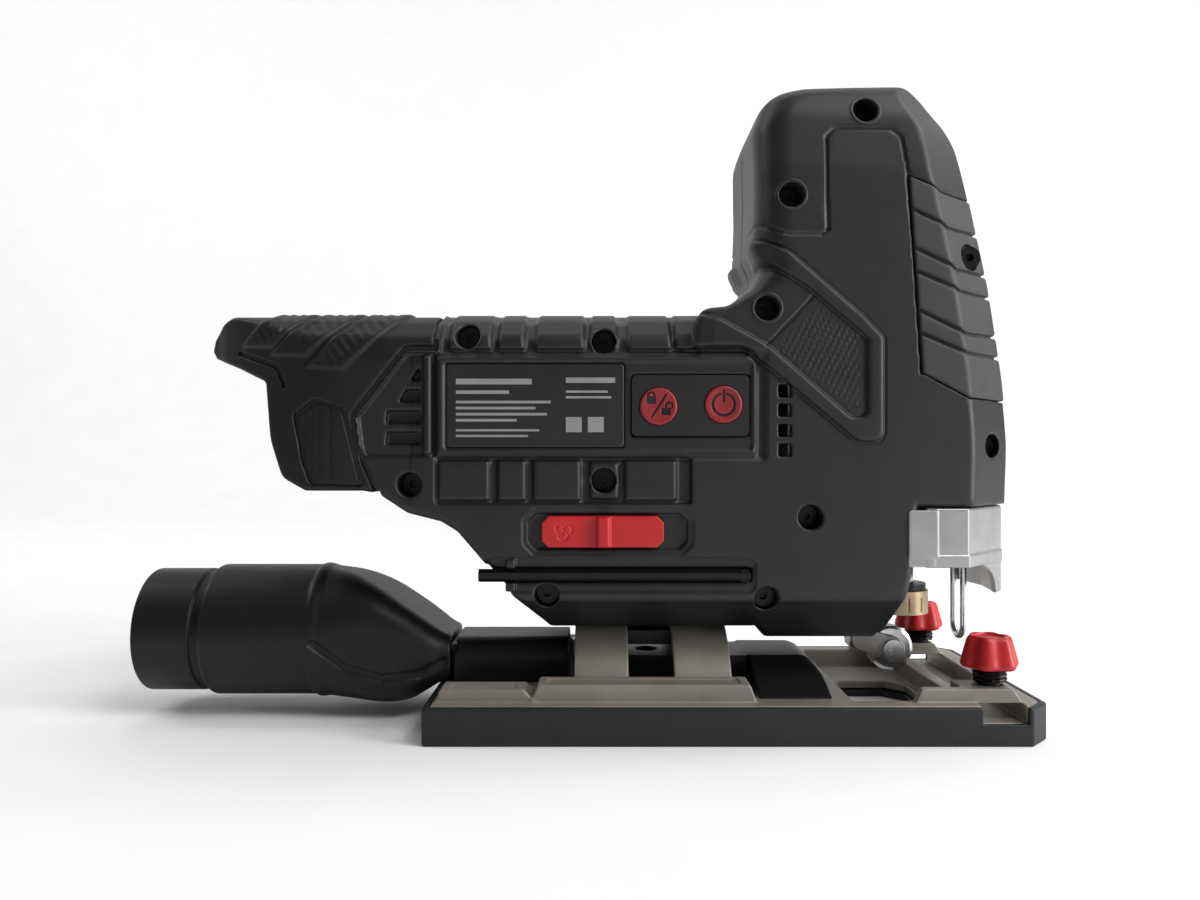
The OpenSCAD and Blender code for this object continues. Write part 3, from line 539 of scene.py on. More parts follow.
def body_distance(x, y, z):
    """The outer body before any detail is moulded into it."""
    barrel = smooth_max(outline(x, z, BARREL_SIDE), outline(y, z, BARREL_FRONT), 2.2)
    # the head's back edges are rolled over more than its front ones
    roll = np.interp(x.ravel(), [30, 46, 66, 84], [12, 10, 6, 3]).astype(np.float32)[:, None, None]
    high = np.clip((z - 112) / 12, 0, 1)
    head = smooth_max(outline(x, z, HEAD_SIDE), outline(y, z, HEAD_FRONT), 2.2 + (roll - 2.2) * high)
    front = eased(z.ravel(), FRONT_Z, FRONT_X, 12).astype(np.float32)[None, None, :]
    facet = (x - front) * FACET_NORMAL[0] + (np.abs(y) - FACET_HALF) * FACET_NORMAL[1]
    head = smooth_max(head, facet, 0.9)
    taper = (np.abs(y) - eased(x, TAIL_X, TAIL_HALF, 9).astype(np.float32)) * 0.9
    return smooth_max(np.minimum(barrel, head), np.where(x < -50, taper, -HALF_WIDTH), 1.0)


def block_relief(x, z):
    """Rows of raised blocks above and below the side panel, in sunk strips."""
    relief = raised(rectangle(x, z, (-42.2, 101.2), (40, 122), 0.8), -1.5, 0.8)
    relief += raised(rectangle(x, z, (-43.4, 61.2), (24, 73.2), 0.8), -1.6, 0.8)
    upper = ((-39.8, -28.8), (-26.8, -20), (-17, -4.2), (-2.4, 4.4), (7.4, 18.8), (21.2, 39.4))
    lower = ((-42.8, -29.2), (-27, -19.6), (-17.6, -5.2), (6.6, 20.2))
    blocks = [(*ends, 102, 125) for ends in upper] + [(*ends, 61.9, 72.5) for ends in lower]
    for left, right, low, high in blocks + [(-2.6, 4.8, 62.4, 71.8)]:
        relief += raised(rectangle(x, z, (left, low), (right, high), 0.5), 1.5, 1.6)
    return relief


BAND_OUTER = rounded([
    (20, 125), (34.9, 130.6, 4), (40.2, 132.5, 5), (49.9, 128, 8), (69.6, 110.8, 5), (74.9, 105.2, 3),
    (74.9, 77.2, 3.5), (67.6, 77.2, 4), (38, 102.2, 3), (20, 102.2)])
BAND_INNER = rounded([
    (20, 112), (31.5, 110.5, 4), (44.6, 103.2, 3), (66.2, 84.3, 2.6), (70, 84.6, 2.2), (70, 104.8, 2.5),
    (55.1, 117.5, 8), (45.9, 123.4, 6), (40.7, 125.4, 4), (35.4, 123.5, 4), (20, 118)])


INSERT = [(57.6, 113), (68.2, 105.6), (68.8, 87.4), (66.6, 86), (45.4, 103)]


def head_relief(x, z):
    """The grip panel's outline, the swept band and the sunk insert on the head."""
    frame_line = rounded([(60, 133.4), (59.6, 158.2, 2), (62, 160.4, 2), (77, 160.4, 2), (79.6, 158, 2),
                          (81.1, 148), (83, 122), (84.7, 95.5)])
    relief = groove(polyline(x, z, frame_line), 1.0, 0.6)
    relief += groove(polyline(x, z, [(34, 133), (37, 135.2), (40, 135.7), (43.3, 135.2), (47.2, 133.2),
                                     (50, 132.3), (58.6, 132.3), (60, 133.4)]), 0.9, 0.5)
    outer, inner = outline(x, z, BAND_OUTER), outline(x, z, BAND_INNER)
    relief += raised(np.maximum(outer, -inner) + 0.4, 1.1, 1.8)
    relief += groove(np.abs(outer), 0.9, 0.55) + groove(np.abs(inner), 0.9, 0.5)
    relief += groove(polyline(x, z, [(56.3, 116), (43.6, 102.6)]), 0.8, 0.4)
    # hammered texture on the insert
    insert = raised(outline(x, z, INSERT), 1, 1.2)
    pebble = np.sin(2.7 * x + 1.1 * z) * np.sin(0.9 * x - 2.9 * z)
    pebble += 0.8 * np.sin(3.6 * x - 1.9 * z + 1) * np.sin(1.6 * x + 3.3 * z)
    return relief + insert * 0.11 * pebble


def louvre_relief(x, z):
    """The sunk field round the louvres, with an upright bar at its front."""
    field = rounded([(-64, 84, 2), (-51, 101, 1), (-43.6, 101, 1), (-43.6, 73.5, 1), (-62.6, 73.5, 2)])
    bar = rectangle(x, z, (-46.6, 74), (-44.4, 100.4), 0.4)
    return raised(outline(x, z, field), -1.4, 1.0) + raised(bar, 1.4, 1.2)


def shared_relief(x, z):
    """Detail moulded into both halves."""
    # the swept band runs over the end of the upper row of blocks
    clear = np.clip(0.5 + outline(x, z, BAND_OUTER), 0, 1)
    relief = block_relief(x, z) * clear + head_relief(x, z) * np.clip((x - 22) / 8, 0, 1)
    relief += louvre_relief(x, z)
    # the side panel stands in a dished field
    dished = rectangle(x, z, (-44, 73.1), (43.5, 101.1), 1.2)
    return relief + (raised(dished, -1.2, 2.4) + raised(outline(x, z, PANEL), 1.2, 1.6))


def right_relief(x, z):
    """Detail on the right half alone: the label's bed, the slider's field and the key's groove."""
    relief = raised(rectangle(x, z, (-41.2, 75.4), (40.2, 98.6), 1.0), -0.6, 0.7)
    relief += raised(outline(x, z, SLOT) - 1.6, -0.5, 0.8)
    relief += raised(rectangle(x, z, (-30, KEY_Z - 4.6), (41, KEY_Z + 4.6), 2.0), -0.5, 1.0)
    return relief


def left_relief(x, z):
    """The left half has a plain panel with three grip ribs and a ring round the lever."""
    relief = raised(rectangle(x, z, (-40, 77), (38, 97), 2.0), -0.7, 0.9)
    for low in (80.5, 85.6, 90.7):
        relief += raised(rectangle(x, z, (-34, low), (32, low + 2.4), 1.1), 0.7, 0.9)
    relief += groove(np.abs(circle(x, z, *LEVER, 10.5)), 1.2, 0.6)
    return relief


def louvre_slots(x, z):
    """Four slots, the upper two cut off by the slope of the sleeve."""
    slots = []
    for i, left in enumerate((-50.4, -53.6, -56.9, -56.9)):
        high = 97.0 - 5.65 * i
        lean = 2.2 if i < 2 else 0.3
        slots.append(outline(x, z, rounded([(left, high - 3.4), (left + lean, high), (-47.6, high),
                                            (-47.6, high - 3.4)], 0.4)))
    return np.minimum.reduce(slots)


def fan_vents(x, z):
    """A column of four square vents beside the fan."""
    vents = [rectangle(x, z, (47, low), (50.3, low + 3.3), 0.3) for low in (89.2, 84.1, 78.8, 73.6)]
    return np.minimum.reduce(vents)


def housing_interior():
    """Screw bosses, ribs and bulkheads inside the housing."""
    shapes = [rod("y", x, z, (-40, 40), 4.4) for x, z, _ in SCREWS]
    shapes += [block((x, -17.4, 58), (x + 3, 17.4, 112)) for x in (-24, 15)]
    shapes += [block((-55, -30, 58), (50, 30, 60)), block((60, -30, 58), (112, 30, 66)),
               block((36, -30, 132), (112, 30, 136)), block((-92, -30, 62), (-60, 30, 85.5)),
               block((6, -10, 24), (21, 10, 38)), block((68.5, -13, 22), (86, 13, 60)),
               block((-30, -30, 39.5), (42, -23.4, 45.2)), block((-20, -30, 47), (24, -24.6, 60)),
               block((-43, -30, 72.5), (43, -24.6, 101)), block((55, 24, 36), (65, 30, 50)),
               block((-60, -30, 72.5), (-43, -23, 101)), block((-60, 23, 72.5), (-43, 30, 101))]
    return shapes


def housing_openings():
    """What the motor, guides, battery, bevel arches and blade clamp need cleared."""
    shapes = [rod("x", 0, MOTOR_Z, (-28.2, 23.7), 14.7), rod("z", PLUNGER_X, 0, (50, 145), 8.2),
              block((-84.6, -18.2, 55), (-66, 18.2, 83)), rod("z", ACCESS_X, 0, (20, 36.6), 3.15),
              block((78.5, -9.5, 15), (90, 9.5, 60.5)), block((70, -6, 15), (84, 6, 47)),
              rod("y", *FORK_PIVOT, (-11, 11), 2.1), rod("x", 0, 0, (-60, 100), ARCH_R - 2.2)]
    shapes += [rod("x", 0, 0, (a - 0.6, b + 0.6), ARCH_R + 0.4) for a, b in ARCHES]
    shapes += [block((-81, y - 0.9, 80), (-73, y + 0.9, 90)) for y in (-10, 0, 10)]
    return shapes


def bed(face, depth):
    """A sunk bed in the right side with 0.1 mm of play round a plate."""
    left, right, low, high = face
    y = -HALF_WIDTH
    return block((left - 0.1, y - 1, low - 0.1), (right + 0.1, y + depth, high + 0.1))


def right_openings():
    """What the label, switches, slider and key need cleared in the right half."""
    y = -HALF_WIDTH
    key_r = 1.9
    shapes = [bed(LABEL, 1.4), bed(SWITCHES, 1.6), prism("y", SLOT, (y - 2, y + 1.6)),
              block((-8, y, 51.6), (11, -20, 55.9)), block((3, -22.8, 74), (43, -17.6, 99)),
              block((-40, y - 3, KEY_Z - key_r), (40, y + key_r, KEY_Z + key_r)),
              rod("y", 38, KEY_Z, (y - 3, -10), key_r)]
    for x, z in BUTTONS.values():
        shapes += [rod("y", x, z, (y - 1, 0), 5.2), rod("y", x, z, (-26, -12), 6.3)]
    return shapes


def housing_half(name, side):
    """One half of the housing: side is -1 for the right half and 1 for the left."""
    s = Solid((-113.5, -31 if side < 0 else -0.8, 20.6), (116.5, 0.8 if side < 0 else 31, 178), FINE)
    x, y, z = s.x, s.y, s.z
    body = body_distance(x, y, z)
    relief = shared_relief(x, z) + (right_relief(x, z) if side < 0 else left_relief(x, z))
    outer = body - relief * np.clip((np.abs(y) - 9) / 7, 0, 1)
    # seats for the soft sleeve and the soft front grip
    for grip in (SLEEVE, FRONT_GRIP):
        outer = np.maximum(outer, np.minimum(-outline(x, z, grip), body + SEAT_DEPTH))
    s.set(-(body + WALL))
    s.add(*housing_interior())
    s.keep(outer)
    s.keep(y * -side + 0.04, 0.25)
    s.cut(*housing_openings())
    s.keep(-np.maximum(louvre_slots(x, z), 24.6 - np.abs(y)), 0.4)
    s.keep(-np.maximum(fan_vents(x, z), 18 - np.abs(y)), 0.5)
    for sx, sz, seat in SCREWS:
        if side < 0:
            s.cut(rod("y", sx, sz, (-40, -seat), 3.25), k=0.6)
            s.cut(rod("y", sx, sz, (-40, 2), 1.7))
        else:
            s.cut(rod("y", sx, sz, (-2, 13), 1.7))
    if side < 0:
        s.cut(*right_openings(), k=0.25)
        # the sprung clip that holds the key
        s.add(block((-24.8, -29.7, KEY_Z + 1.9), (-22.2, -26, KEY_Z + 4.2), 0.5),
              block((-24.8, -29.7, KEY_Z - 4.2), (-22.2, -26, KEY_Z - 1.9), 0.5), k=0.4)
    else:
        s.cut(rod("y", *LEVER, (0, 60), 3.1))
    node = "housing_right" if side < 0 else "housing_left"
    finish_piece(surface(name, s), "housing", "shell_black", node)


def screw_rims():
    """Thin rims round the three larger screw recesses on the head."""
    s = Solid((38, -30, 106), (78, -14, 172), SMALL)
    body = body_distance(s.x, s.y, s.z)
    for x, z, _ in RIMMED:
        s.join(smooth_max(slab(circle(s.x, s.z, x, z), 3.3, 4.3), slab(body, -0.6, 0.22), 0.3))
    s.keep(s.y + 12)
    finish_piece(surface("screw_hole_rims", s, 40000), "housing", "shell_black")


def tail_sleeve():
    """The soft sleeve round the tail, with three ribbed bands running over its top."""
    s = Solid((-113.5, -31, 62), (-41, 31, 115.5), FINE * 0.9)
    x, y, z = s.x, s.y, s.z
    body = body_distance(x, y, z)
    zone = outline(x, z, SLEEVE)
    relief = 0
    # each band's ends on top, and its lower rear corner
    for left, right, u, w in ((-88.6, -78.1, -98, 103.6), (-76.4, -65.2, -88.5, 100.8),
                              (-63.5, -52.1, -78, 97.4)):
        band = outline(x, z, rounded([(right, 120), (right, 112.5, 2), (u + 10.5, w - 0.6, 1), (u, w),
                                      (left, 112.5, 2), (left, 120)]))
        hatch = outline(x, z, [(right - 2.6, 120), (right - 2.6, 111), (u + 8.6, w + 0.6),
                               (u + 2.4, w + 0.9), (left + 1.4, 111), (left + 1.4, 120)])
        run, rise = right - u - 8, 112 - w
        along = (x * run + (z - 100) * rise) / math.hypot(run, rise)
        ribs = np.clip((np.abs(np.mod(along / 2.3, 1) - 0.5) * 4 - 1) * 1.6, -1, 1)
        relief = relief + raised(band, 0.75, 1.1) + raised(hatch, 1, 0.8) * (0.13 * ribs - 0.13)
    relief += groove(polyline(x, z, [(-99, 101.8), (-86.6, 97.6), (-84.5, 92.4)]), 1.4, 0.7)
    pad = outline(x, z, rounded([(-81.4, 84.5), (-75.6, 88.4), (-68.2, 86.1), (-67.5, 84.5), (-63, 66.1),
                                 (-76.7, 66.6), (-78.8, 71.4)], 1.0))
    relief += groove(np.abs(pad), 1.2, 0.6) + raised(pad, -0.3, 1.0)
    outer = body + 0.45 - relief * np.clip((np.abs(y) - 1) / 4 + (z > 106), 0, 1)
    chamfer = (outer * 1.2 + zone + 1.9) * 0.64
    s.set(smooth_max(np.maximum(outer, zone + 0.12), chamfer, 0.3))
    s.keep(-(body + GRIP_DEPTH))
    s.cut(block((-84.8, -18.4, 50), (-65.7, 18.4, 83.3)))
    s.cut(rod("y", *SLEEVE_SCREW[:2], (-40, 0), 4.6), k=0.4)
    finish_piece(surface("tail_sleeve", s), "housing", "grip_rubber", "tail_grip")


def front_grip():
    """Finger bands down the head's front, each crowned between two grooves."""
    s = Solid((79, -30.5, 86), (117, 30.5, 151), SMALL)
    x, y, z = s.x, s.y, s.z
    body = body_distance(x, y, z)
    lines = [polyline(x, z, line) for line in GRIP_GROOVES]
    crown = np.clip(np.minimum.reduce(lines) / 1.2, 0, 1) * 0.25
    relief = sum(groove(line, 1.0, 0.9) for line in lines) + crown
    s.set(smooth_max(body - relief, outline(x, z, FRONT_GRIP) + 0.35, 0.6))
    s.keep(-(body + GRIP_DEPTH))
    s.cut(rod("y", *GRIP_SCREW[:2], (-60, 0), 3.7), k=0.4)
    grip = surface("front_finger_grip", s, 120000)
    finish_piece(grip, "housing", "grip_rubber", "front_grip", "front_rubber")


def plan_inset(x, y, inset):
    """Distance to the nose's plan outline, moved inwards."""
    return outline(x, y, NOSE_PLAN) + inset


def nose_cover():
    """The cast nose over the blade clamp: a hood with side pockets and a curved front lip."""
    s = Solid((80.5, -29.5, 34.5), (115, 29.5, 61), SMALL)
    x, y, z = s.x, s.y, s.z
    face = plan_inset(x, y, 0.3)
    s.set(smooth_max(face, slab(z, 35.5, 59.9), 0.8))
    s.keep(86.2 - x)
    s.keep(-np.maximum(np.maximum(plan_inset(x, y, 2.5), z - 57.9), 80 - x))
    # the sides stop short and sweep down to the front lip
    cx, cz, r = 101.3, 35.8, 8.5
    sweep = np.maximum(x - (cx + r), z - (cz + r))
    s.keep(-np.where((x > cx) & (z > cz), circle(x, z, cx, cz, r), sweep))
    # a band along the lower edge, and the side pockets with their feet
    band = np.maximum(slab(z, 44.4, 47.4), slab(face, -1, 0.35))
    s.join(np.maximum(band, 86.3 - x), 0.5)
    pocket = np.maximum(rectangle(x, z, (81.2, 47), (89, 59.4), 0.6), slab(np.abs(y), 25.5, 28.9))
    foot = np.maximum(rectangle(x, z, (81.2, 44.4), (88, 47.6), 0.5), slab(np.abs(y), 25.5, 28.6))
    s.join(smooth_min(pocket, foot, 0.4), 0.4)
    s.cut(rod("z", PLUNGER_X, 0, (50, 70), 5))
    s.keep(plan_inset(x, y, -0.4))
    finish_piece(surface("nose_casting", s, 120000), "housing", "casting_silver", "nose_cover")


# ---------------------------------------------------------------- foot

def sole_plan(x, y, inset):
    """The foot's plan outline with its front corners cut, moved inwards."""
    rear, front, half = SOLE_LOW[0] + inset, SOLE_HIGH[0] - inset, SOLE_HIGH[1] - inset
    sd = rectangle(x, y, (rear, -half), (front, half), 0.8)
    chamfer = ((x - front) + (np.abs(y) - half) + (6 - 0.586 * inset)) * DIAGONAL
    return np.maximum(sd, chamfer)


def blade_plan(x, y, grow):
    """The opening round the blade with its corners cut, moved outwards."""
    sd = rectangle(x, y, (68 - grow, -11.3 - grow), (92 + grow, 11.3 + grow), 0.3)
    chamfer = (np.abs(x - 80) + np.abs(y) - (12 + grow) - (11.3 + grow) + 5) * DIAGONAL
    return np.maximum(sd, chamfer)


def sole_shoe():
    """The nylon shoe: a tray round the plate, with runner grooves beneath."""
    s = Solid((-46.5, -38.6, -0.8), (117.2, 38.6, 10.8), SMALL * 1.2)
    x, y, z = s.x, s.y, s.z
    s.set(smooth_max(sole_plan(x, y, 0), slab(z, 0, SOLE_HIGH[2]), 0.6))
    s.keep(-np.maximum(sole_plan(x, y, 1.5), 2 - z))
    s.keep(-blade_plan(x, y, -1), 0.4)
    s.cut(rod("z", ACCESS_X, 0, (-1, 8), ACCESS_R), k=0.3)
    s.cut(block((FENCE_X[0], -50, FENCE_Z), (FENCE_X[1], 50, 12)), k=0.4)
    for side in (-1, 1):
        s.cut(block((-38, side * 30 - 2, -1), (90, side * 30 + 2, 0.6), 1.2), k=0.3)
    finish_piece(surface("sole_shoe_moulding", s, 150000), "foot", "shoe_black", "sole_shoe")


def base_plate():
    """The cast plate: deck, rails, blade well, fence blocks and the two bevel arches."""
    s = Solid((-45, -37, 1.4), (115.5, 37, 28.2), SMALL * 1.2)
    x, y, z = s.x, s.y, s.z
    s.set(smooth_max(sole_plan(x, y, 1.7), slab(z, 2.2, DECK_Z), 0.8))
    root = DECK_Z - 1
    for side in (-1, 1):
        near, far = sorted((side * 24, side * 33))
        for a, b, top, lead, trail in ((-41.5, -19.7, 13.3, 1.6, 4), (-16, 38.9, 14.6, 2.5, 2)):
            rail = rounded([(a - lead, root), (a, top, 0.7), (b, top, 0.7), (b + trail, root)])
            s.add(prism("y", rail, (near, far)), k=0.7)
            # a shallow recess along the rail's top
            s.cut(block((a + 2.4, near + 1.8, top - 0.45), (b - 2.4, far - 1.8, top + 1), 1.0), k=0.3)
        pad = rounded([(81.2, root), (83.2, 13.6, 0.8), (106.8, 13.6, 1.2), (110, root)])
        s.add(prism("y", pad, sorted((side * 23.2, side * 33))), k=0.7)
    for ends in ARCHES:
        ring = np.maximum(slab(circle(y, z, 0, 0), ARCH_R - 2.5, ARCH_R), slab(x, *ends))
        s.join(np.maximum(ring, root - z), 0.9)
    s.cut(block((-40, -32, 0), (62, 32, 7.8)), block((95, -20, 0), (FENCE_X[0], 20, 7.8)))
    s.cut(block((66, -30.5, 4.5), (94, 30.5, 20), 1.0), k=0.5)
    s.keep(-np.maximum(blade_plan(x, y, 0), slab(z, 0, 8)), 0.3)
    s.cut(block((FENCE_X[0], -50, FENCE_Z), (FENCE_X[1], 50, 10)), k=0.3)
    for side in (-1, 1):
        s.cut(rod("z", KNOB_X, side * KNOB_Y, (8, 20), 3.1), k=0.3)
    s.cut(rod("z", ACCESS_X, 0, (0, 20), ACCESS_R))
    finish_piece(surface("base_plate_casting", s), "foot", "casting_grey", "base_plate")


def dust_duct():
    """The suction duct along the deck: a wide throat, a low channel and a mouth by the blade."""
    rear, front = DUCT_LOW[0], DUCT_HIGH[0]
    mouth_half, top, low_top = DUCT_HIGH[1], DUCT_HIGH[2], 17
    s = Solid((rear - 1, -mouth_half - 1, DECK_Z - 1), (front + 2, mouth_half + 1, top + 1), SMALL)
    x, y, z = s.x, s.y, s.z
    s.set(block((rear, -12, DECK_Z), (-9, 12, top)).sd(x, y, z))
    s.keep((z - top + np.abs(y) - 12 + 3) * DIAGONAL, 2)
    s.add(block((-10, -10, DECK_Z), (60, 10, low_top)), k=2.5)
    mouth = rounded([(-mouth_half, DECK_Z), (-10, low_top, 2), (10, low_top, 2), (mouth_half, DECK_Z)])
    s.add(prism("x", mouth, (42, front)), k=1.5)
    s.keep((x - front + z - low_top + 2.2) * DIAGONAL, 2)
    s.keep(DECK_Z - z)
    # the throat, the channel and the mouth are hollow
    s.cut(block((-42, -10.2, 11.4), (-10.5, 10.2, 20.6), 0.8), block((-11, -8.5, 11.4), (70, 8.5, 15.6)),
          prism("x", [(-21.6, 11.4), (-9, 15.6), (9, 15.6), (21.6, 11.4)], (43.5, 70)), k=0.3)
    s.add(rod("z", ACCESS_X, 0, (DECK_Z, low_top), ACCESS_R + 1))
    s.cut(rod("z", ACCESS_X, 0, (9, 18), ACCESS_R))
    duct = surface("dust_duct_moulding", s, 90000)
    finish_piece(duct, "foot", "inner_plastic", "dust_duct", "nozzle_black")


def roller_fork():
    """Two slim cheeks joined by a web, which carry the guide roller against the blade's back."""
    s = Solid((71.5, -5, 12.5), (89.5, 5, 44.5), SMALL * 0.8)
    x, y, z = s.x, s.y, s.z
    arm = polyline(x, z, [FORK_PIVOT, (FORK_PIVOT[0], 20.5), ROLLER]) - 3.3
    cheeks = np.maximum(smooth_min(arm, circle(x, z, *ROLLER, 3.4), 1), slab(np.abs(y), 2.8, 4.4))
    web = np.maximum(rectangle(x, z, (72.7, 18), (76.3, 43)), np.abs(y) - 3.2)
    s.set(smooth_min(cheeks, web, 0.4))
    s.cut(rod("y", *FORK_PIVOT, (-10, 10), 2.05), rod("y", *ROLLER, (-10, 10), 2))
    finish_piece(surface("roller_fork_casting", s, 60000), "fork", "sintered", "roller_fork")


def knob(name, side):
    """A thumb knob: six soft flutes, tapering upwards, with a dished top."""
    cx, cy = KNOB_X, side * KNOB_Y
    s = Solid((cx - 9.3, cy - 9.3, 17), (cx + 9.3, cy + 9.3, 27.4), TINY * 1.3)
    x, y, z = s.x, s.y, s.z
    lobes = 0.45 * np.cos(6 * np.arctan2(y - cy, x - cx))
    taper = np.clip((z - 19.5) / 6.9, 0, 1) * 1.9
    flank = (circle(x, y, cx, cy) - (7.15 + lobes - taper)) * 0.96
    s.set(smooth_max(flank, slab(z, 18, 26.4), 1.3))
    s.cut(rod("z", cx, cy, (25.7, 28), 3.6), k=0.9)
    s.cut(rod("z", cx, cy, (16, 22), 3.05))
    for k in range(6):
        a = math.radians(60 * k + 30)
        s.cut(rod("z", cx + 7.9 * math.cos(a), cy + 7.9 * math.sin(a), (19.5, 28), 1.2), k=0.9)
    hand = "right" if side < 0 else "left"
    finish_piece(surface(name, s, 60000), hand + "_knob", "red_plastic", "knob_" + hand)


def dust_nozzle():
    """The pull-off nozzle: a plain hose ring, then a barrel that flattens into the duct."""
    s = Solid((-131, -20, 3), (-32, 20, 43), SMALL * 1.3)
    x, y, z = s.x, s.y, s.z
    r = circle(y, z, 0, NOZZLE_Z)
    ring = smooth_max(r - 17.5, slab(x, -129.5, -113.6), 0.5)
    neck = np.maximum(r - 16.8, slab(x, -114.5, -110.5))
    barrel = smooth_max(r - 18.7, slab(x, -111, -79), 1.4)
    # the taper's half width, top, underside and corner radius change along its length
    steps = [-80, -70, -62, -55, -50, -46, -42.2]
    half, top, low, corner = (eased(x, steps, values, 7).astype(np.float32) for values in (
        [18.7, 18.5, 17.9, 17, 16, 14.4, 12], [41.7, 39.8, 36, 31.2, 27.8, 24.8, 22],
        [4.3, 4.1, 4.0, 4.4, 6.4, 9.6, 11], [18.6, 14, 9, 7, 6, 5, 4]))
    centre, tall = (top + low) / 2, (top - low) / 2
    corner = np.minimum(corner, np.minimum(half, tall))
    qy, qz = np.abs(y) - half + corner, np.abs(z - centre) - tall + corner
    taper = np.sqrt(np.maximum(qy, 0) ** 2 + np.maximum(qz, 0) ** 2)
    taper = taper + np.minimum(np.maximum(qy, qz), 0) - corner
    taper = np.maximum(taper, slab(x, steps[0], steps[-1]))
    s.set(np.minimum(np.minimum(ring, neck), smooth_min(barrel, taper, 2.0)))
    # the crease under the bulge, and the spigot that enters the duct
    s.add(block((-43, -9.8, 12), (-33, 9.8, 20.2), 1.0), k=1.0)
    crease = polyline(x, z, [(-79, 22), (-70, 15.5), (-60, 12.4), (-50, 13.2), (-44, 16)])
    s.set(s.field - groove(crease, 2.6, 0.7) * np.clip((np.abs(y) - 6) / 6, 0, 1))
    s.cut(rod("x", 0, NOZZLE_Z, (-131, -79), 15.5), k=0.8)
    s.keep(-np.maximum(taper + 3.4, slab(x, -81, -41)))
    s.cut(block((-45, -8, 13.4), (-30, 8, 18.8), 0.8))
    finish_piece(surface("dust_nozzle_moulding", s), "nozzle", "nozzle_black", "dust_nozzle")


# ---------------------------------------------------------------- controls and label

def power_symbol(u, v):
    """An open ring with a bar in its gap."""
    arc = np.maximum(np.abs(circle(u, v, 0, 0, 2.9)) - 0.32, v - np.abs(u) * 2.2 - 1.2)
    return np.minimum(arc, rectangle(u, v, (-0.32, 0.6), (0.32, 3.9), 0.3))


def lock_symbol(u, v):
    """A shut and an open padlock with a stroke between them."""
    parts = [polyline(u, v, [(-1.9, -2.9), (1.9, 3.1)]) - 0.24]
    for cu, cv, lift in ((-2.0, 0.7, 0), (1.9, -2.3, 0.7)):
        bow = np.abs(circle(u, v, cu + 1.2 * lift, cv + 2.1 + lift * 0.5, 0.85)) - 0.24
        parts += [rectangle(u, v, (cu - 1.2, cv), (cu + 1.2, cv + 1.9), 0.2),
                  np.maximum(bow, cv + 1.7 - v)]
    return np.minimum.reduce(parts)


def button(name, symbol):
    """A dished button with a flange behind it and a dark symbol let into its face."""
    cx, cz = BUTTONS[name]
    front = -HALF_WIDTH - 0.3
    s = Solid((cx - 6.6, front - 0.7, cz - 6.6), (cx + 6.6, -22.6, cz + 6.6), TINY)
    r = circle(s.x, s.z, cx, cz)
    dish = 0.35 * np.clip(1 - (r / 4.4) ** 2, 0, 1)
    s.set(smooth_max(r - 5, np.maximum(front + dish - s.y, s.y + 23.4), 0.7))
    s.add(rod("y", cx, cz, (-25.9, -24.9), 5.9))
    shape = symbol(s.x - cx, s.z - cz)
    s.keep(-np.maximum(shape, s.y - front - 0.75), 0.12)
    body = "power" if name == "power_button" else "lock"
    finish_piece(surface(name + "_cap", s, 60000), body, "red_plastic", name, "button_red")
    s.set(np.maximum(shape - 0.04, slab(s.y - dish, front + 0.2, front + 0.9)))
    finish_piece(surface(name + "_symbol", s, 20000), body, "red_plastic", material="panel_black")


def blower_slider():
    """The red slider, with a raised thumb bar and a small air symbol."""
    y = -HALF_WIDTH
    s = Solid((-16.4, y - 2.8, 48.6), (17.8, -20.8, 59), TINY * 1.2)
    plan = rounded([(-15.4, 51.3), (-13.6, 49.6), (15, 49.6), (16.8, 51.3), (16.8, 56.2), (15, 57.9),
                    (-13.6, 57.9), (-15.4, 56.2)], 0.6)
    plate = prism("y", plan, (y - 0.4, y + 1.4))
    s.set(plate.sd(s.x, s.y, s.z))
    s.keep(y - 0.4 - s.y, 0.8)
    s.add(block((-0.8, y - 1.8, 49.9), (2.6, y, 57.6), 0.8), k=0.8)
    s.add(block((-3, y + 1.3, 52), (3, -21.5, 55.5)))
    # three curved vanes, engraved at the rear end
    u, v = s.x + 9.6, s.z - 53.8
    vanes = []
    for k in range(3):
        a = 2 * math.pi * k / 3 + 0.4
        arc = np.abs(circle(u, v, 1.1 * math.cos(a), 1.1 * math.sin(a), 1.2)) - 0.18
        vanes.append(np.maximum(arc, -(u * math.cos(a + 0.8) + v * math.sin(a + 0.8))))
    s.keep(-np.maximum(np.minimum.reduce(vanes), s.y - (y - 0.05)), 0.1)
    finish_piece(surface("blower_slider_moulding", s, 90000), "blower", "red_plastic", "blower_slider")


def label_film():
    """The rating label as a plain film."""
    left, right, low, high = LABEL
    s = Solid((left - 1, LABEL_Y - 0.6, low - 1), (right + 1, LABEL_Y + 1.3, high + 1), TINY * 1.6)
    edge = rectangle(s.x, s.z, (left, low), (right, high), 1.0)
    s.set(smooth_max(edge, slab(s.y, LABEL_Y, LABEL_Y + 0.7), 0.25))
    finish_piece(surface("label_film", s, 20000), "housing", "label_film", "label_plate")


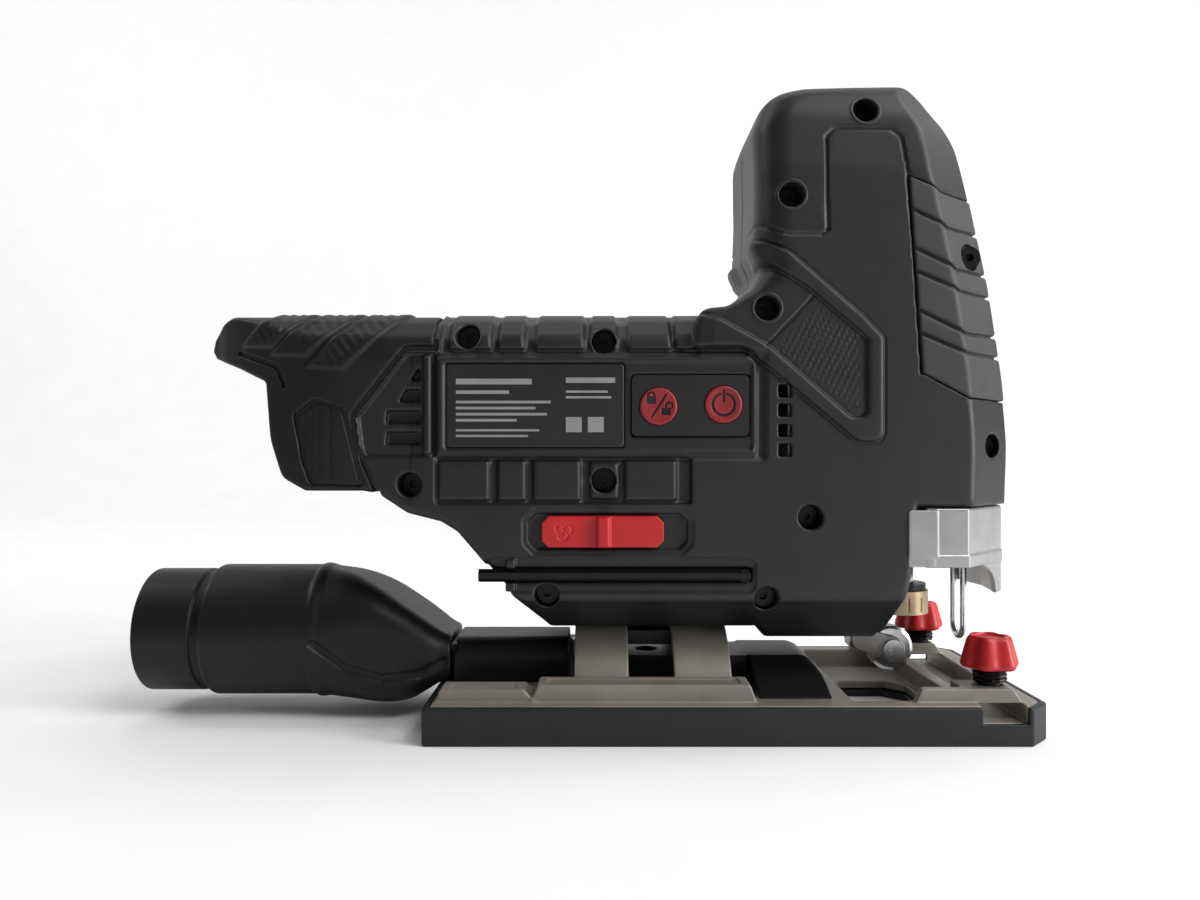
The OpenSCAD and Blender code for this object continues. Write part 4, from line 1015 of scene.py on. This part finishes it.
def label_bars():
    """Generic bars for the label's print, as left, right, low and height."""
    points, faces = [], []
    bars = [(-38, -18, 92.6, 1.5), (-38, -24, 90.1, 0.9), (-38, -13, 87.6, 0.7), (-38, -17, 86, 0.7),
            (-38, -14, 84.4, 0.7), (-38, -22, 82.8, 0.7), (-38, -16, 80.2, 0.6), (-38, -19, 78.7, 0.6),
            (-9, 4, 93, 1.4), (-9, 2, 90.4, 0.6), (-9, 3, 88.9, 0.6), (-9, -4.8, 80, 4), (-3.2, 1, 80, 4)]
    for left, right, low, tall in bars:
        base = len(points)
        for y in (LABEL_Y - 0.02, LABEL_Y + 0.03):
            points += [(left, y, low), (right, y, low), (right, y, low + tall), (left, y, low + tall)]
        quads = [(0, 1, 2, 3), (7, 6, 5, 4), (0, 4, 5, 1), (1, 5, 6, 2), (2, 6, 7, 3), (3, 7, 4, 0)]
        faces += [tuple(base + i for i in q) for q in quads]
    mesh = bpy.data.meshes.new("label_bars")
    mesh.from_pydata([Vector(p) * MM for p in points], [], faces)
    mesh.validate()
    obj = link(bpy.data.objects.new("label_bars", mesh))
    finish_piece(obj, "housing", "label_film", material="label_ink")


# ---------------------------------------------------------------- the object

housing_half("housing_right_moulding", -1)
housing_half("housing_left_moulding", 1)
screw_rims()
tail_sleeve()
front_grip()
nose_cover()
sole_shoe()
base_plate()
dust_duct()
roller_fork()
knob("thumb_knob_right", -1)
knob("thumb_knob_left", 1)
dust_nozzle()
button("power_button", power_symbol)
button("lock_button", lock_symbol)
blower_slider()
label_film()
label_bars()

# the CAD nodes that stay keep their shape and get softened edges and real finishes
SLOTS = {p["node"]: p["material_slot"] for p in frame["record"]["subparts"]}
# painted shade: the bevel clamp is given a dark finish so that it reads as the shade between the arches
SLOTS["bevel_clamp"] = "steel_dark"       # seen dark between the arches
for name, obj in frame["nodes"].items():
    if obj.hide_render:
        continue
    obj.data.materials.clear()
    obj.data.materials.append(MATERIALS.get(SLOTS.get(name), MATERIALS["inner_plastic"]))
    bevel = obj.modifiers.new("soft_edges", "BEVEL")
    bevel.width = 0.2 * MM
    bevel.segments = 2
    bevel.limit_method = "ANGLE"
    bevel.angle_limit = math.radians(35)
    bevel.harden_normals = True


# ---------------------------------------------------------------- setting

def area_light(name, place, target, size, power):
    data = bpy.data.lights.new(name, "AREA")
    data.shape = "RECTANGLE"
    data.size, data.size_y = size
    data.energy = power
    lamp = link(bpy.data.objects.new(name, data))
    lamp.location = place
    lamp.rotation_euler = (Vector(target) - Vector(place)).to_track_quat("-Z", "Y").to_euler()


def backdrop():
    """A pale floor that curves up behind the object into a wall."""
    radius, depth, wide, tall = 0.5, 1.2, 3.0, 2.6
    profile = [(-2.2, 0.0), (depth - radius, 0.0)]
    for k in range(1, 17):
        a = math.pi / 2 * k / 16
        profile.append((depth - radius + radius * math.sin(a), radius - radius * math.cos(a)))
    profile.append((depth, tall))
    points = [(sx * wide, py, pz) for py, pz in profile for sx in (-1, 1)]
    faces = [(2 * i, 2 * i + 1, 2 * i + 3, 2 * i + 2) for i in range(len(profile) - 1)]
    mesh = bpy.data.meshes.new("backdrop")
    mesh.from_pydata(points, [], faces)
    mesh.polygons.foreach_set("use_smooth", [True] * len(faces))
    obj = link(bpy.data.objects.new("backdrop", mesh))
    s = Shader("backdrop_paper", (0.93, 0.93, 0.93), 0.85)
    s.link(s.mix(s.ramp(s.noise(40.0, 3.0), 0.3, 0.7, 0, 1), (0.92, 0.92, 0.92), (0.945, 0.945, 0.945)),
           s.bsdf.inputs["Base Color"])
    mesh.materials.append(MATERIALS["backdrop_paper"])


backdrop()
area_light("key", (0.55, -0.45, 0.95), (0.02, 0, 0.09), (0.6, 0.4), 5.8)
area_light("side", (0.85, -0.35, 0.25), (0.05, 0, 0.1), (0.3, 0.6), 8)
area_light("top", (0.0, 0.25, 0.9), (0, 0, 0.1), (0.9, 0.4), 1.8)
area_light("wall_left", (-1.0, 0.2, 0.9), (-0.5, 1.2, 0.3), (0.8, 0.5), 7)
area_light("wall_right", (1.0, 0.2, 0.9), (0.5, 1.2, 0.3), (0.8, 0.5), 7.2)

world = bpy.data.worlds.new("studio")
world.use_nodes = True
world.node_tree.nodes["Background"].inputs["Color"].default_value = (1, 1, 1, 1)
world.node_tree.nodes["Background"].inputs["Strength"].default_value = 0.13
bpy.context.scene.world = world
bpy.context.scene.view_settings.view_transform = "Standard"

camera_data = bpy.data.cameras.new("camera")
camera_data.lens = 27.54
camera_data.sensor_width = 36
camera_data.clip_start = 0.01
camera = link(bpy.data.objects.new("camera", camera_data))
camera.location = (0, -0.270, 0.0753)
camera.rotation_euler = (math.pi / 2, 0, 0)
bpy.context.scene.camera = camera
